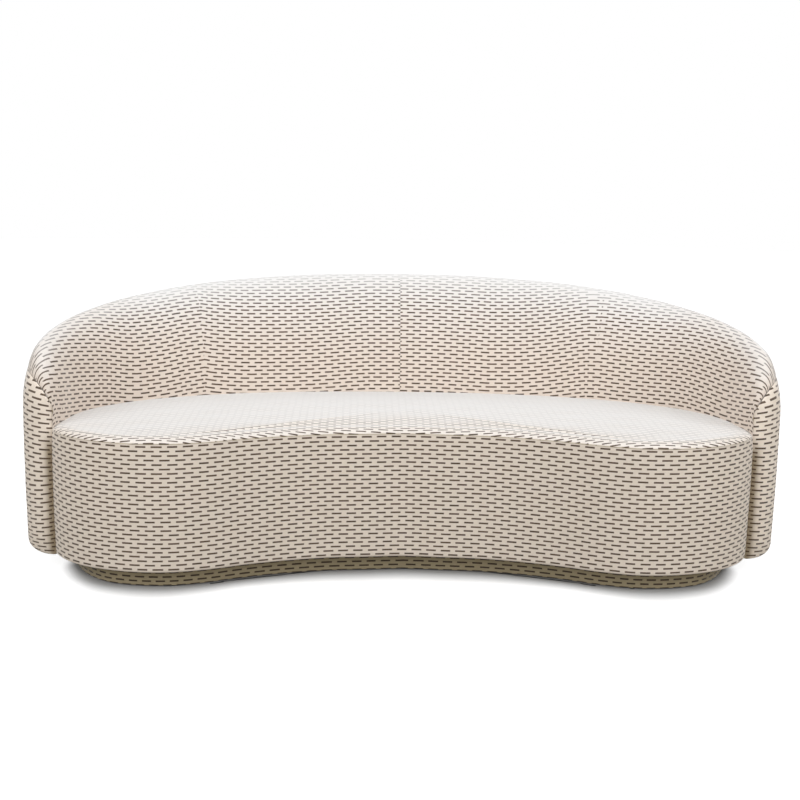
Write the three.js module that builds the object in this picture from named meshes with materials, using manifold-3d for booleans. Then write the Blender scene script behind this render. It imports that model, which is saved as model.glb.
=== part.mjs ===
// Curved three-seat sofa with a wrap-round back, a kidney-shaped seat and a recessed plinth.
// Millimetres, +Z up. X runs along the sofa, the sitter faces -Y, Z = 0 is the floor.
// The origin stands under the middle of the bounding box.
import * as THREE from 'three';
import { mergeVertices } from 'three/addons/utils/BufferGeometryUtils.js';
import Module from 'manifold-3d';

const solids = await Module();
solids.setup();

// Overall sizes. Depths in plan are measured from the front edge at the sofa's middle, where y is 0.
// The lobes stand forward of it on either side. The rear arcs begin at the side line.
const sofaHalfWidth = 1138;
const backHeight = 818;
const seatDepth = 630;
const lobeDepth = 168;
const armWidth = 90;
const seatHalfWidth = sofaHalfWidth - armWidth;
const armTipHeight = 500;
const armRidgeHeight = 640;
const sideLineY = 60;
const backThickness = 257;
const outlineExponent = 2.27;
const outerExponent = 2.2;

// Heights of the seat block
const baseUnderside = 53;
const seatSeamHeight = 428;
const edgeRise = 15;
const crownRise = 9;
const edgeRoll = 52;

// Back and arm section: the padding overhangs the seat's edge, the face leans back to the ridge,
// and the roll falls from the ridge to the upright outer wall.
const paddingOverhang = 38;
const armRidgeOffset = 68;
const backRidgeOffset = 205;
const armRollHeight = 158;
const backRollHeight = 130;
const bottomCornerRadius = 34;
const turnUnder = 26;
const backStandOff = 4;

// Each arm tapers to an upright crease at its nose, over the nose's length
const noseTipY = 4;
const noseLength = 125;

// How the ridge rises from the arm to the back, and how fast the inner face leans back
const ridgeRiseExponent = 0.85;
const armLeanExponent = 2.2;
const armLeanRootExponent = 2.2;
const backLeanExponent = 1.4;
const backLeanRootExponent = 1.7;

// Angle above the level at which the inside and outside covers meet on the roll
const noseSeamAngle = 88;
const backSeamAngle = 36;
const noseSeamExponent = 0.4;

// Layers, from the cloth inwards, and the fit between neighbours
const fit = 0.3;
const clothThickness = 1.6;
const armPadDepth = 41;
const backPadDepth = 60;
const foamRollDepth = 12;
const waddingDepth = 8;
const innerPanelThickness = 4;
const outerPanelThickness = 3;
const wrapDepth = 10;
const facingThickness = 4;
const dustThickness = 0.8;

// Frame boards
const boardThickness = 18;
const railThickness = 22;
const railWidth = 70;
const topRailHeight = 20;
const topRailHalfWidth = 10;
const topRailDrop = 21;
const deckHeight = 288;
const crossRibSpacingShare = 0.477;
const crossRibSpacing = seatHalfWidth * crossRibSpacingShare;
const crossRibCount = 3;
const lighteningHeight = 110;
const lighteningMargin = 34;
const lighteningCorner = 30;

// Upright ribs of the shell, by their angle round the plan
const ribAngles = [5, 31, 61];
const ribRelief = 2;
const ribHoleWidthShare = 0.42;
const ribHoleLengthShare = 0.34;
const ribHoleHeightShares = [0.27, 0.73];
const ribHoleCornerShare = 0.33;

// Webbing
const strapWidth = 50;
const strapThickness = 1.5;
const strapLift = 1.3;
const shortStrapCount = 7;
const shortStrapSpacingShare = 0.229;
const shortStrapSpacing = seatHalfWidth * shortStrapSpacingShare;
const longStrapCount = 3;
const longStrapSpacingShare = 0.206;
const longStrapSpacing = seatDepth * longStrapSpacingShare;
const longStrapMiddleShare = 0.341;
const longStrapMiddleY = seatDepth * longStrapMiddleShare;
const strapBearing = 40;
const crossingMargin = 10;

// Plinth and feet
const glideHeight = 4;
const glideRadius = 9;
const plinthFrontInset = 36;
const plinthSideInset = 66;
const plinthTurnShare = 0.8;
const glideShares = [0.3, 0.83];

// Joining plates and their screws
const plateAngle = 46;
const plateLength = 120;
const plateWidth = 40;
const plateThickness = 2.5;
const screwRadius = 3;
const screwHeadRadius = 6;
const screwHeadHeight = 2;
const screwInset = 22;
const screwHoleClearance = 0.3;

// Fineness of the curved faces
const rearMiddleAngle = 90;
const rearAngles = [3, 8, 14, 21, 28, 35, 43, 51, 59, 67, 78, rearMiddleAngle];
const frontSteps = 17;
const splitStation = 21;
const noseShares = [0.002, 0.02, 0.08, 0.2, 0.38];
const seamStationAngle = 53;
const shellAngles = [2.5, 6, 11, 17, 24, 31, 38, 45.5, seamStationAngle, 61, 70, 80, rearMiddleAngle];
const faceShares = [0, 0.22, 0.43, 0.62, 0.79, 0.9, 0.97];
const wallShares = [0.5, 1];
const rollShares = [0, 0.07, 0.25, 0.55, 1];
const crownShares = [0.6];
const rollSteps = 4;
const outerRollSteps = 3;
const fullCornerSteps = 3;
const paddingCornerSteps = 2;
const ribCurveSteps = 5;
const halvingSteps = 24;
const holeSegments = 6;
const slotCornerSegments = 1;
const glideSegments = 16;
const screwSegments = 10;

// Where the padding and the panels begin and end
const foamStart = 1;
const leastDepthShare = 0.2;
const panelTopShare = 0.85;
const skewProbeAngle = 1;

const degrees = THREE.MathUtils.degToRad;
const mix = THREE.MathUtils.lerp;
const clamp = THREE.MathUtils.clamp;
const plan = (x, y) => new THREE.Vector2(x, y);

// Colours and finishes
const finishes = {
  cloth: { color: 0xe9e0d2, roughness: 0.92, metalness: 0 },
  lining: { color: 0x3a3733, roughness: 0.95, metalness: 0 },
  foam: { color: 0xe8dca6, roughness: 1, metalness: 0 },
  wadding: { color: 0xf2f1ec, roughness: 1, metalness: 0 },
  ply: { color: 0xc7a270, roughness: 0.7, metalness: 0 },
  board: { color: 0x9a7a54, roughness: 0.85, metalness: 0 },
  webbing: { color: 0x5b4634, roughness: 0.9, metalness: 0 },
  nylon: { color: 0x2b2b2b, roughness: 0.5, metalness: 0 },
  steel: { color: 0xb8bbbe, roughness: 0.35, metalness: 1 },
};

// Plan outline of the seat block, right half: front middle, lobe, side, then the rear arc.
// Front points are shares of the seat's half width and of the lobe's depth.
const frontShares = [
  [0, 0],
  [0.107, 0.06],
  [0.217, 0.13],
  [0.331, 0.3],
  [0.44, 0.54],
  [0.544, 0.83],
  [0.648, 1],
  [0.755, 0.965],
  [0.868, 0.72],
  [0.942, 0.36],
  [0.985, -0.05],
];

function superArc(angle, halfWidth, depth, exponent) {
  const power = 2 / exponent;
  const x = halfWidth * Math.pow(Math.max(Math.cos(angle), 0), power);
  return plan(x, sideLineY + depth * Math.pow(Math.sin(angle), power));
}

function seatHalfOutline() {
  const knots = frontShares.map(([x, y]) => new THREE.Vector3(x * seatHalfWidth, -y * lobeDepth, 0));
  knots.unshift(knots[1].clone().multiply(new THREE.Vector3(-1, 1, 1)));
  knots.push(new THREE.Vector3(seatHalfWidth, sideLineY, 0));
  knots.push(new THREE.Vector3(seatHalfWidth, sideLineY + noseLength, 0));
  const curve = new THREE.CatmullRomCurve3(knots, false, 'centripetal');
  const first = 1 / (knots.length - 1);
  const last = 1 - first;
  const half = [];
  for (let i = 0; i <= frontSteps; i += 1) {
    const point = curve.getPoint(mix(first, last, i / frontSteps));
    half.push(plan(point.x, point.y));
  }
  for (const angle of rearAngles) {
    half.push(superArc(degrees(angle), seatHalfWidth, seatDepth - sideLineY, outlineExponent));
  }
  half[0].x = 0;
  half[half.length - 1].x = 0;
  return half;
}

// The whole outline runs anticlockwise from the front middle.
const halfOutline = seatHalfOutline();
const mirrored = halfOutline.slice(1, -1).map((p) => plan(-p.x, p.y)).reverse();
const seatOutline = [...halfOutline, ...mirrored];
const seatCentre = plan(0, (seatDepth - lobeDepth) / 2);

function outlineNormal(index) {
  const count = seatOutline.length;
  const ahead = seatOutline[(index + 1) % count];
  const behind = seatOutline[(index + count - 1) % count];
  const along = ahead.clone().sub(behind).normalize();
  return plan(along.y, -along.x);
}

const seatNormals = seatOutline.map((_, index) => outlineNormal(index));
const insetPoint = (index, inset) => seatOutline[index].clone().addScaledVector(seatNormals[index], -inset);
const insetOutline = (inset) => seatOutline.map((_, index) => insetPoint(index, inset));

// A solid between two matching grids of points, one row for each station.
// From the mirror row on, each four-sided face is cut along its other diagonal.
function slab(outer, inner, closed = false, mirrorRow = Infinity) {
  const rows = outer.length;
  const columns = outer[0].length;
  const position = [];
  const index = [];
  for (const grid of [outer, inner]) {
    for (const row of grid) {
      for (const point of row) position.push(point.x, point.y, point.z);
    }
  }
  const at = (layer, row, column) => layer * rows * columns + (row % rows) * columns + column;
  const quad = (a, b, c, d, turned = false) => {
    const corners = turned ? [b, c, d, b, d, a] : [a, b, c, a, c, d];
    index.push(...corners);
  };
  const spans = closed ? rows : rows - 1;
  for (let r = 0; r < spans; r += 1) {
    for (let c = 0; c < columns - 1; c += 1) {
      const turned = r >= mirrorRow;
      quad(at(0, r, c), at(0, r + 1, c), at(0, r + 1, c + 1), at(0, r, c + 1), turned);
      quad(at(1, r, c), at(1, r, c + 1), at(1, r + 1, c + 1), at(1, r + 1, c), turned);
    }
    quad(at(1, r, 0), at(1, r + 1, 0), at(0, r + 1, 0), at(0, r, 0));
    const edge = columns - 1;
    quad(at(0, r, edge), at(0, r + 1, edge), at(1, r + 1, edge), at(1, r, edge));
  }
  if (!closed) {
    const end = rows - 1;
    for (let c = 0; c < columns - 1; c += 1) {
      quad(at(0, 0, c), at(0, 0, c + 1), at(1, 0, c + 1), at(1, 0, c));
      quad(at(1, end, c), at(1, end, c + 1), at(0, end, c + 1), at(0, end, c));
    }
  }
  const geometry = new THREE.BufferGeometry();
  geometry.setAttribute('position', new THREE.Float32BufferAttribute(position, 3));
  geometry.setIndex(index);
  return facingOut(geometry);
}

function signedVolume(geometry) {
  const position = geometry.getAttribute('position');
  const index = geometry.getIndex();
  const corner = [new THREE.Vector3(), new THREE.Vector3(), new THREE.Vector3()];
  let volume = 0;
  for (let i = 0; i < index.count; i += 3) {
    corner.forEach((point, k) => point.fromBufferAttribute(position, index.getX(i + k)));
    volume += corner[0].dot(corner[1].clone().cross(corner[2]));
  }
  return volume;
}

function turnedOver(geometry) {
  const index = Array.from(geometry.getIndex().array);
  for (let i = 0; i < index.length; i += 3) {
    [index[i], index[i + 1]] = [index[i + 1], index[i]];
  }
  geometry.setIndex(index);
  return geometry;
}

const facingOut = (geometry) => (signedVolume(geometry) < 0 ? turnedOver(geometry) : geometry);

function welded(geometry) {
  const bare = geometry.clone();
  bare.deleteAttribute('normal');
  bare.deleteAttribute('uv');
  return mergeVertices(bare);
}

// Joins touching pieces into one solid.
function joined(geometries) {
  const parts = geometries.map((geometry) => {
    const bare = welded(geometry);
    return new solids.Manifold(new solids.Mesh({
      numProp: 3,
      vertProperties: new Float32Array(bare.getAttribute('position').array),
      triVerts: new Uint32Array(bare.getIndex().array),
    }));
  });
  const mesh = parts.reduce((whole, part) => whole.add(part)).getMesh();
  const geometry = new THREE.BufferGeometry();
  geometry.setAttribute('position', new THREE.BufferAttribute(mesh.vertProperties, 3));
  geometry.setIndex(new THREE.BufferAttribute(mesh.triVerts, 1));
  return geometry;
}

function mirroredCopy(geometry) {
  return facingOut(welded(geometry.clone().scale(-1, 1, 1)));
}

// A flat board with a plan outline and round holes.
function plate(outline, bottom, thickness, holes = []) {
  const clockwise = THREE.ShapeUtils.isClockWise(outline);
  const shape = new THREE.Shape(clockwise ? [...outline].reverse() : outline);
  for (const hole of holes) {
    const path = new THREE.Path();
    path.absarc(hole.x, hole.y, hole.radius, 0, 2 * Math.PI, true);
    shape.holes.push(path);
  }
  const options = { depth: thickness, bevelEnabled: false, curveSegments: holeSegments };
  const geometry = new THREE.ExtrudeGeometry(shape, options);
  return welded(geometry.translate(0, 0, bottom));
}

const lift = (points, height) => points.map((p) => new THREE.Vector3(p.x, p.y, height));

const root = new THREE.Group();

function add(name, finish, geometry) {
  const mesh = new THREE.Mesh(geometry, new THREE.MeshStandardMaterial(finishes[finish]));
  mesh.name = name;
  root.add(mesh);
}

// Outline points of the front run, which ends behind the arm fronts on either side, and of the rear run.
const outlineCount = seatOutline.length;
const frontRun = [];
for (let i = -splitStation; i <= splitStation; i += 1) frontRun.push((i + outlineCount) % outlineCount);
const rearRun = [];
for (let i = splitStation; i <= outlineCount - splitStation; i += 1) rearRun.push(i);

// A strip that stands on a run of the outline between heights. Its faces are at depths 0 and thickness.
// Short ends step back by the fit, so that two runs meet without touching. Closed ends are joined.
function standingStrip(run, pointAt, thickness, heights, ends) {
  const column = (index, depth) => {
    const point = pointAt(index, depth);
    return heights.map((z) => new THREE.Vector3(point.x, point.y, z));
  };
  const grids = [0, thickness].map((depth) => run.map((index) => column(index, depth)));
  if (ends === 'short') grids.forEach((grid) => trimmed(grid, true, true));
  return slab(grids[0], grids[1], ends === 'closed');
}

const seatStrip = (run, inset, thickness, heights, ends) => {
  const pointAt = (index, depth) => insetPoint(index, inset + depth);
  return standingStrip(run, pointAt, thickness, heights, ends);
};

function shortenRow(row, towards) {
  row.forEach((point, i) => {
    const step = towards[i].clone().sub(point).normalize();
    point.addScaledVector(step, fit);
  });
}

// Steps the first row, the last row or both back by the fit.
function trimmed(rows, atStart, atEnd) {
  if (atStart) shortenRow(rows[0], rows[1].map((p) => p.clone()));
  if (atEnd) shortenRow(rows[rows.length - 1], rows[rows.length - 2].map((p) => p.clone()));
  return rows;
}

// Height of the seat's upper face at an inset from its edge, without the crown.
const rolledHeight = (inset) => {
  const share = clamp(inset / edgeRoll, 0, 1);
  return seatSeamHeight + edgeRise * Math.sqrt(1 - (1 - share) * (1 - share));
};

// Rings of the seat's upper surface, from the edge to the middle.
function seatRings(inset, drop) {
  const rings = [];
  for (const share of rollShares) {
    const reach = share * edgeRoll;
    rings.push(lift(insetOutline(inset + reach), rolledHeight(reach) - drop));
  }
  const edge = insetOutline(inset + edgeRoll);
  for (const share of crownShares) {
    const height = seatSeamHeight + edgeRise + crownRise * (1 - share * share) - drop;
    rings.push(lift(edge.map((p) => seatCentre.clone().lerp(p, share)), height));
  }
  return rings;
}

// Closes rings into a domed solid over a bottom made of rings or of a flat floor.
function dome(top, bottom) {
  const position = [];
  const index = [];
  const count = top[0].length;
  const put = (point) => position.push(point.x, point.y, point.z) / 3 - 1;
  const middleOf = (ring, rise) => {
    const height = ring[0].z + rise;
    return put(new THREE.Vector3(seatCentre.x, seatCentre.y, height));
  };
  const lay = (rings, upward, rise) => {
    const starts = rings.map((ring) => ring.map(put)[0]);
    const tri = (a, b, c) => (upward ? index.push(a, b, c) : index.push(c, b, a));
    for (let r = 0; r < rings.length - 1; r += 1) {
      for (let i = 0; i < count; i += 1) {
        const j = (i + 1) % count;
        tri(starts[r] + i, starts[r] + j, starts[r + 1] + j);
        tri(starts[r] + i, starts[r + 1] + j, starts[r + 1] + i);
      }
    }
    const middle = middleOf(rings[rings.length - 1], rise);
    const last = starts[rings.length - 1];
    for (let i = 0; i < count; i += 1) tri(last + i, last + ((i + 1) % count), middle);
    return starts[0];
  };
  const share = crownShares[crownShares.length - 1];
  const rise = crownRise * share * share;
  const above = lay(top, true, rise);
  const below = lay(bottom, false, bottom.length > 1 ? rise : 0);
  for (let i = 0; i < count; i += 1) {
    const j = (i + 1) % count;
    index.push(above + i, below + i, below + j, above + i, below + j, above + j);
  }
  const geometry = new THREE.BufferGeometry();
  geometry.setAttribute('position', new THREE.Float32BufferAttribute(position, 3));
  geometry.setIndex(index);
  return facingOut(geometry);
}

// Heights that the seat block's pieces share
const webbingSeat = deckHeight + railThickness + fit;
const foamUnderside = webbingSeat + strapThickness + strapLift + fit;
const foamInset = clothThickness + fit;
const facingInset = foamInset + wrapDepth + fit;
const frameInset = facingInset + facingThickness + fit;
const wrapBottom = baseUnderside + clothThickness + fit;
const wrapTop = foamUnderside - fit;
const boardTop = wrapBottom + boardThickness;

function addSeatSoftParts() {
  const topCover = dome(seatRings(0, 0), seatRings(clothThickness, clothThickness));
  add('seat_top_cover', 'cloth', topCover);
  const foamTop = seatRings(foamInset, foamInset);
  add('seat_foam', 'foam', dome(foamTop, [lift(insetOutline(foamInset), foamUnderside)]));
  const bandTop = seatSeamHeight - foamInset;
  add('seat_front_band', 'cloth', seatStrip(frontRun, 0, clothThickness, [baseUnderside, bandTop], 'open'));
  add('seat_rear_lining', 'lining', seatStrip(rearRun, 0, clothThickness, [wrapBottom, bandTop], 'short'));
  const wrapHeights = [wrapBottom, wrapTop];
  add('seat_front_wrap', 'wadding', seatStrip(frontRun, foamInset, wrapDepth, wrapHeights, 'open'));
  add('seat_rear_wrap', 'wadding', seatStrip(rearRun, foamInset, wrapDepth, wrapHeights, 'short'));
  const facingHeights = [wrapBottom, deckHeight + railThickness];
  add('seat_front_facing', 'ply', seatStrip(frontRun, facingInset, facingThickness, facingHeights, 'open'));
  add('seat_rear_facing', 'ply', seatStrip(rearRun, facingInset, facingThickness, facingHeights, 'short'));
}

// Where the line on which one coordinate is fixed crosses a closed outline, as the other coordinate.
function crossingsOf(outline, fixed, value, other) {
  const found = [];
  outline.forEach((p, i) => {
    const next = outline[(i + 1) % outline.length];
    const change = next[fixed] - p[fixed];
    if ((p[fixed] - value) * (next[fixed] - value) > 0 || change === 0) return;
    found.push(mix(p[other], next[other], (value - p[fixed]) / change));
  });
  return found;
}

// The nearest and farthest y of an outline at some x.
function spanAt(outline, x) {
  const found = crossingsOf(outline, 'x', x, 'y');
  return { front: Math.min(...found), rear: Math.max(...found) };
}

// The part of an outline's depth that is clear at every one of some x values.
function clearSpan(outline, values) {
  const spans = values.map((x) => spanAt(outline, x));
  return {
    front: Math.max(...spans.map((span) => span.front)),
    rear: Math.min(...spans.map((span) => span.rear)),
  };
}

function addDeckRails() {
  const heights = [deckHeight, deckHeight + railThickness];
  add('deck_front_rail', 'ply', seatStrip(frontRun, frameInset, railWidth, heights, 'open'));
  add('deck_rear_rail', 'ply', seatStrip(rearRun, frameInset, railWidth, heights, 'short'));
}

// Upright cross ribs between the bottom board and the deck rails, each with a lightening hole.
function addCrossRibs() {
  const bottom = boardTop + fit;
  const height = deckHeight - fit - bottom;
  const inside = insetOutline(frameInset + fit);
  for (let i = 0; i < crossRibCount; i += 1) {
    const x = (i - (crossRibCount - 1) / 2) * crossRibSpacing;
    const { front, rear } = clearSpan(inside, [x - boardThickness / 2, x, x + boardThickness / 2]);
    const shape = new THREE.Shape();
    shape.moveTo(front, 0).lineTo(rear, 0).lineTo(rear, height).lineTo(front, height).closePath();
    const holeLength = (rear - front) / 2 - 2 * lighteningMargin;
    for (const side of [-1, 1]) {
      const middle = (front + rear) / 2 + side * (holeLength + lighteningMargin) / 2;
      shape.holes.push(roundedSlot(middle, height / 2, holeLength, lighteningHeight, lighteningCorner));
    }
    const options = { depth: boardThickness, bevelEnabled: false, curveSegments: slotCornerSegments };
    const geometry = new THREE.ExtrudeGeometry(shape, options);
    geometry.rotateY(Math.PI / 2).rotateX(Math.PI / 2);
    geometry.translate(x - boardThickness / 2, 0, bottom);
    add(`base_cross_rib_${i + 1}`, 'ply', welded(geometry));
  }
}

function roundedSlot(centreX, centreY, length, height, radius) {
  const path = new THREE.Path();
  const x = length / 2 - radius;
  const y = height / 2 - radius;
  path.moveTo(centreX - x, centreY - y - radius);
  path.absarc(centreX + x, centreY - y, radius, -Math.PI / 2, 0, false);
  path.absarc(centreX + x, centreY + y, radius, 0, Math.PI / 2, false);
  path.absarc(centreX - x, centreY + y, radius, Math.PI / 2, Math.PI, false);
  path.absarc(centreX - x, centreY - y, radius, Math.PI, -Math.PI / 2, false);
  return path;
}

// A flat strap along a list of centre points, across a sideways direction.
function strap(points, sideways) {
  const row = (rise) => points.map((p) => [-1, 1].map((side) => {
    const point = p.clone().addScaledVector(sideways, side * strapWidth / 2);
    point.z += rise;
    return point;
  }));
  return slab(row(strapThickness), row(0));
}

// Straps pass over one another and under the next, with level stretches where they cross.
function wovenPath(start, end, crossings, overFirst) {
  const along = end.clone().sub(start);
  const length = along.length();
  along.normalize();
  const points = [start.clone()];
  crossings.forEach((distance, i) => {
    const over = (i % 2 === 0) === overFirst;
    for (const side of [-1, 1]) {
      const reach = clamp(distance + side * (strapWidth / 2 + crossingMargin), 0, length);
      const point = start.clone().addScaledVector(along, reach);
      point.z += over ? strapLift : 0;
      points.push(point);
    }
  });
  points.push(end.clone());
  return points;
}

function addWebbing() {
  const reach = frameInset + railWidth - strapBearing;
  const rowsX = [];
  for (let i = 0; i < shortStrapCount; i += 1) {
    rowsX.push((i - (shortStrapCount - 1) / 2) * shortStrapSpacing);
  }
  const rowsY = [];
  for (let j = 0; j < longStrapCount; j += 1) {
    rowsY.push(longStrapMiddleY + (j - (longStrapCount - 1) / 2) * longStrapSpacing);
  }
  const bearing = insetOutline(reach);
  const short = rowsX.map((x, i) => {
    const span = spanAt(bearing, x);
    const start = new THREE.Vector3(x, span.front, webbingSeat);
    const end = new THREE.Vector3(x, span.rear, webbingSeat);
    const crossings = rowsY.map((y) => y - span.front);
    return strap(wovenPath(start, end, crossings, i % 2 === 0), new THREE.Vector3(1, 0, 0));
  });
  const long = rowsY.map((y, j) => {
    const side = Math.max(...crossingsOf(bearing, 'y', y, 'x'));
    const start = new THREE.Vector3(-side, y, webbingSeat);
    const end = new THREE.Vector3(side, y, webbingSeat);
    const crossings = rowsX.map((x) => x + side);
    return strap(wovenPath(start, end, crossings, j % 2 === 1), new THREE.Vector3(0, 1, 0));
  });
  add('seat_webbing', 'webbing', joined([...short, ...long]));
}

// Back and arm shell. Each station is an upright section between an inner and an outer plan point.
const seatInnerHalfWidth = seatHalfWidth - paddingOverhang;
const innerDepth = seatDepth - sideLineY - paddingOverhang;
const outerDepth = innerDepth + paddingOverhang + backThickness;

// The nose closes against the seat's side, whose outline curves away towards the front.
const seatSideAt = (y) => Math.max(...crossingsOf(seatOutline, 'y', y, 'x')) + fit;

function stationAt(angle, noseShare) {
  const straight = noseShare === undefined ? sideLineY : noseTipY + noseShare * noseLength;
  const inner = superArc(degrees(angle), seatInnerHalfWidth, innerDepth, outlineExponent);
  const outer = superArc(degrees(angle), sofaHalfWidth, outerDepth, outerExponent);
  inner.y += straight - sideLineY;
  outer.y += straight - sideLineY;
  if (angle === rearMiddleAngle) {
    inner.x = 0;
    outer.x = 0;
  }
  const along = clamp((inner.y - noseTipY) / noseLength, 0, 1);
  const full = Math.sqrt(1 - (1 - along) * (1 - along));
  const crease = seatSideAt(inner.y);
  inner.x = mix(crease, inner.x, full);
  outer.x = mix(crease, outer.x, full);
  const turn = Math.sin(degrees(angle));
  const ridge = mix(armRidgeHeight, backHeight, Math.pow(turn, ridgeRiseExponent));
  return {
    inner,
    direction: outer.clone().sub(inner).normalize(),
    thickness: outer.distanceTo(inner),
    ridgeOffset: mix(armRidgeOffset, backRidgeOffset, turn) * full,
    height: mix(armTipHeight, ridge, full),
    rest: rolledHeight(edgeRoll * full) + fit,
    roll: mix(armRollHeight, backRollHeight, turn) * full,
    pad: mix(armPadDepth, backPadDepth, turn * turn),
    leanPower: mix(armLeanExponent, backLeanExponent, turn),
    leanRoot: mix(armLeanRootExponent, backLeanRootExponent, turn),
    seam: degrees(mix(noseSeamAngle, backSeamAngle, Math.pow(along, noseSeamExponent))),
    full,
    depthShare: Math.max(full, leastDepthShare),
  };
}

const noseStations = noseShares.map((share) => stationAt(0, share));
const arcStations = shellAngles.map((angle) => stationAt(angle));
const halfStations = [...noseStations, ...arcStations];
const seamIndex = noseShares.length + shellAngles.indexOf(seamStationAngle);
const lastIndex = halfStations.length - 1;

// Section points: q is the distance from the inner plan point, z the height.
const toSpace = (station, q, z) => {
  const point = station.inner.clone().addScaledVector(station.direction, q);
  return new THREE.Vector3(point.x, point.y, z);
};

// How far the inner face has leaned back at a share of its height, as a share of the ridge's offset.
const leanAt = (station, t) => {
  const left = Math.max(1 - Math.pow(t, station.leanPower), 0);
  return 1 - Math.pow(left, 1 / station.leanRoot);
};

function innerFacePoint(station, t, depth) {
  const d = depth * station.depthShare;
  const q = d + (station.ridgeOffset - d) * leanAt(station, t);
  return toSpace(station, q, mix(station.rest, station.height - d, t));
}

function rollPoint(station, angle, depth, rollDepth) {
  const rise = Math.sin(angle);
  const d = mix(rollDepth, depth, rise * rise) * station.depthShare;
  const q = station.ridgeOffset + (station.thickness - d - station.ridgeOffset) * Math.cos(angle);
  return toSpace(station, q, station.height - station.roll + (station.roll - d) * Math.sin(angle));
}

// Inner face, ridge and outer roll down to the seam.
function insideRow(station, depth, rollDepth = depth) {
  const row = faceShares.map((t) => innerFacePoint(station, t, depth));
  for (let i = 0; i <= rollSteps; i += 1) {
    const angle = mix(Math.PI / 2, station.seam, i / rollSteps);
    row.push(rollPoint(station, angle, depth, rollDepth));
  }
  return row;
}

// From the seam down the outer wall and round the bottom corner.
function outsideRow(station, depth, firstStep, cornerSteps, withUnder) {
  const row = [];
  const start = station.seam - fit / armRollHeight;
  for (let i = firstStep; i <= outerRollSteps; i += 1) {
    row.push(rollPoint(station, start * (1 - i / outerRollSteps), depth, depth));
  }
  const d = depth * station.depthShare;
  const radius = bottomCornerRadius * station.full;
  const top = station.height - station.roll;
  const bottom = baseUnderside + radius;
  for (const share of wallShares) {
    row.push(toSpace(station, station.thickness - d, mix(top, bottom, share)));
  }
  for (let i = 1; i <= cornerSteps; i += 1) {
    const angle = Math.PI / 2 * i / fullCornerSteps;
    const q = station.thickness - radius + (radius - d) * Math.cos(angle);
    row.push(toSpace(station, q, bottom - (radius - d) * Math.sin(angle)));
  }
  if (withUnder) {
    const q = station.thickness - radius - turnUnder * station.full;
    row.push(toSpace(station, q, baseUnderside + d));
  }
  return row;
}

// Stations of a run, from the right arm's tip round to the left arm's, ended short by the fit.
const leftOf = (row) => row.map((p) => new THREE.Vector3(-p.x, p.y, p.z));

function shellRows(from, to, rowOf) {
  const rows = [];
  for (let i = from; i <= to; i += 1) {
    const mirroredStation = i > lastIndex;
    const station = halfStations[mirroredStation ? 2 * lastIndex - i : i];
    const row = rowOf(station);
    rows.push(mirroredStation ? leftOf(row) : row);
  }
  return rows;
}

function shellSlab(from, to, outerRow, innerRow, trims) {
  const outer = trimmed(shellRows(from, to, outerRow), trims[0], trims[1]);
  const inner = trimmed(shellRows(from, to, innerRow), trims[0], trims[1]);
  return slab(outer, inner, false, lastIndex - from);
}

function addPair(stem, finish, geometry) {
  add(`${stem}_right`, finish, geometry);
  add(`${stem}_left`, finish, mirroredCopy(geometry));
}

function addShellCovers() {
  const outer = (station) => insideRow(station, 0);
  const inner = (station) => insideRow(station, clothThickness);
  addPair('inside_arm_cover', 'cloth', shellSlab(0, seamIndex, outer, inner, [false, true]));
  addPair('inside_back_cover', 'cloth', shellSlab(seamIndex, lastIndex, outer, inner, [false, true]));
  const outside = (station) => outsideRow(station, 0, 0, fullCornerSteps, true);
  const lining = (station) => outsideRow(station, clothThickness, 0, fullCornerSteps, true);
  addPair('outside_cover', 'cloth', shellSlab(0, lastIndex, outside, lining, [false, true]));
}

function addShellPadding() {
  const outer = (station) => insideRow(station, foamInset);
  const inner = (station) => insideRow(station, station.pad, foamRollDepth);
  addPair('arm_foam', 'foam', shellSlab(foamStart, seamIndex, outer, inner, [false, true]));
  const across = 2 * lastIndex - seamIndex;
  add('back_foam', 'foam', shellSlab(seamIndex, across, outer, inner, [false, false]));
  const waddingRow = (station, depth) => outsideRow(station, depth, 0, paddingCornerSteps, false);
  const wadding = (station) => waddingRow(station, foamInset);
  const waddingBack = (station) => waddingRow(station, foamInset + waddingDepth);
  addPair('outside_wadding', 'wadding', shellSlab(foamStart, lastIndex, wadding, waddingBack, [false, true]));
}

const railBottom = wrapBottom;
const railTop = railBottom + railThickness;
const outerPanelInset = foamInset + waddingDepth + fit;
const frameOuterInset = outerPanelInset + outerPanelThickness + fit;
const panelStart = noseShares.length;

// The bent inner panel stands on the bottom rail and follows the inner face up to the foam's ridge.
function panelRow(station, depth) {
  const shares = faceShares.filter((share) => share < panelTopShare);
  const foot = toSpace(station, depth * station.depthShare, railTop + fit);
  return [foot, ...shares.map((share) => innerFacePoint(station, share, depth))];
}

const outerPanelRow = (station, depth) => outsideRow(station, depth, 1, 0, false);

function addShellPanels() {
  const face = (station) => panelRow(station, station.pad + fit);
  const back = (station) => panelRow(station, station.pad + fit + innerPanelThickness);
  addPair('inner_arm_panel', 'board', shellSlab(panelStart, seamIndex, face, back, [false, true]));
  const across = 2 * lastIndex - seamIndex;
  add('inner_back_panel', 'board', shellSlab(seamIndex, across, face, back, [false, false]));
  const outer = (station) => outerPanelRow(station, outerPanelInset);
  const inner = (station) => outerPanelRow(station, outerPanelInset + outerPanelThickness);
  addPair('outer_panel', 'board', shellSlab(panelStart, lastIndex, outer, inner, [false, true]));
}

// The bent top rail runs along the ridge inside the foam.
const topRailTop = (station) => station.height - station.pad - topRailDrop;

function topRailRow(station, side) {
  const top = topRailTop(station);
  const q = station.ridgeOffset + side * topRailHalfWidth;
  return [top - topRailHeight, top].map((z) => toSpace(station, q, z));
}

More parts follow.
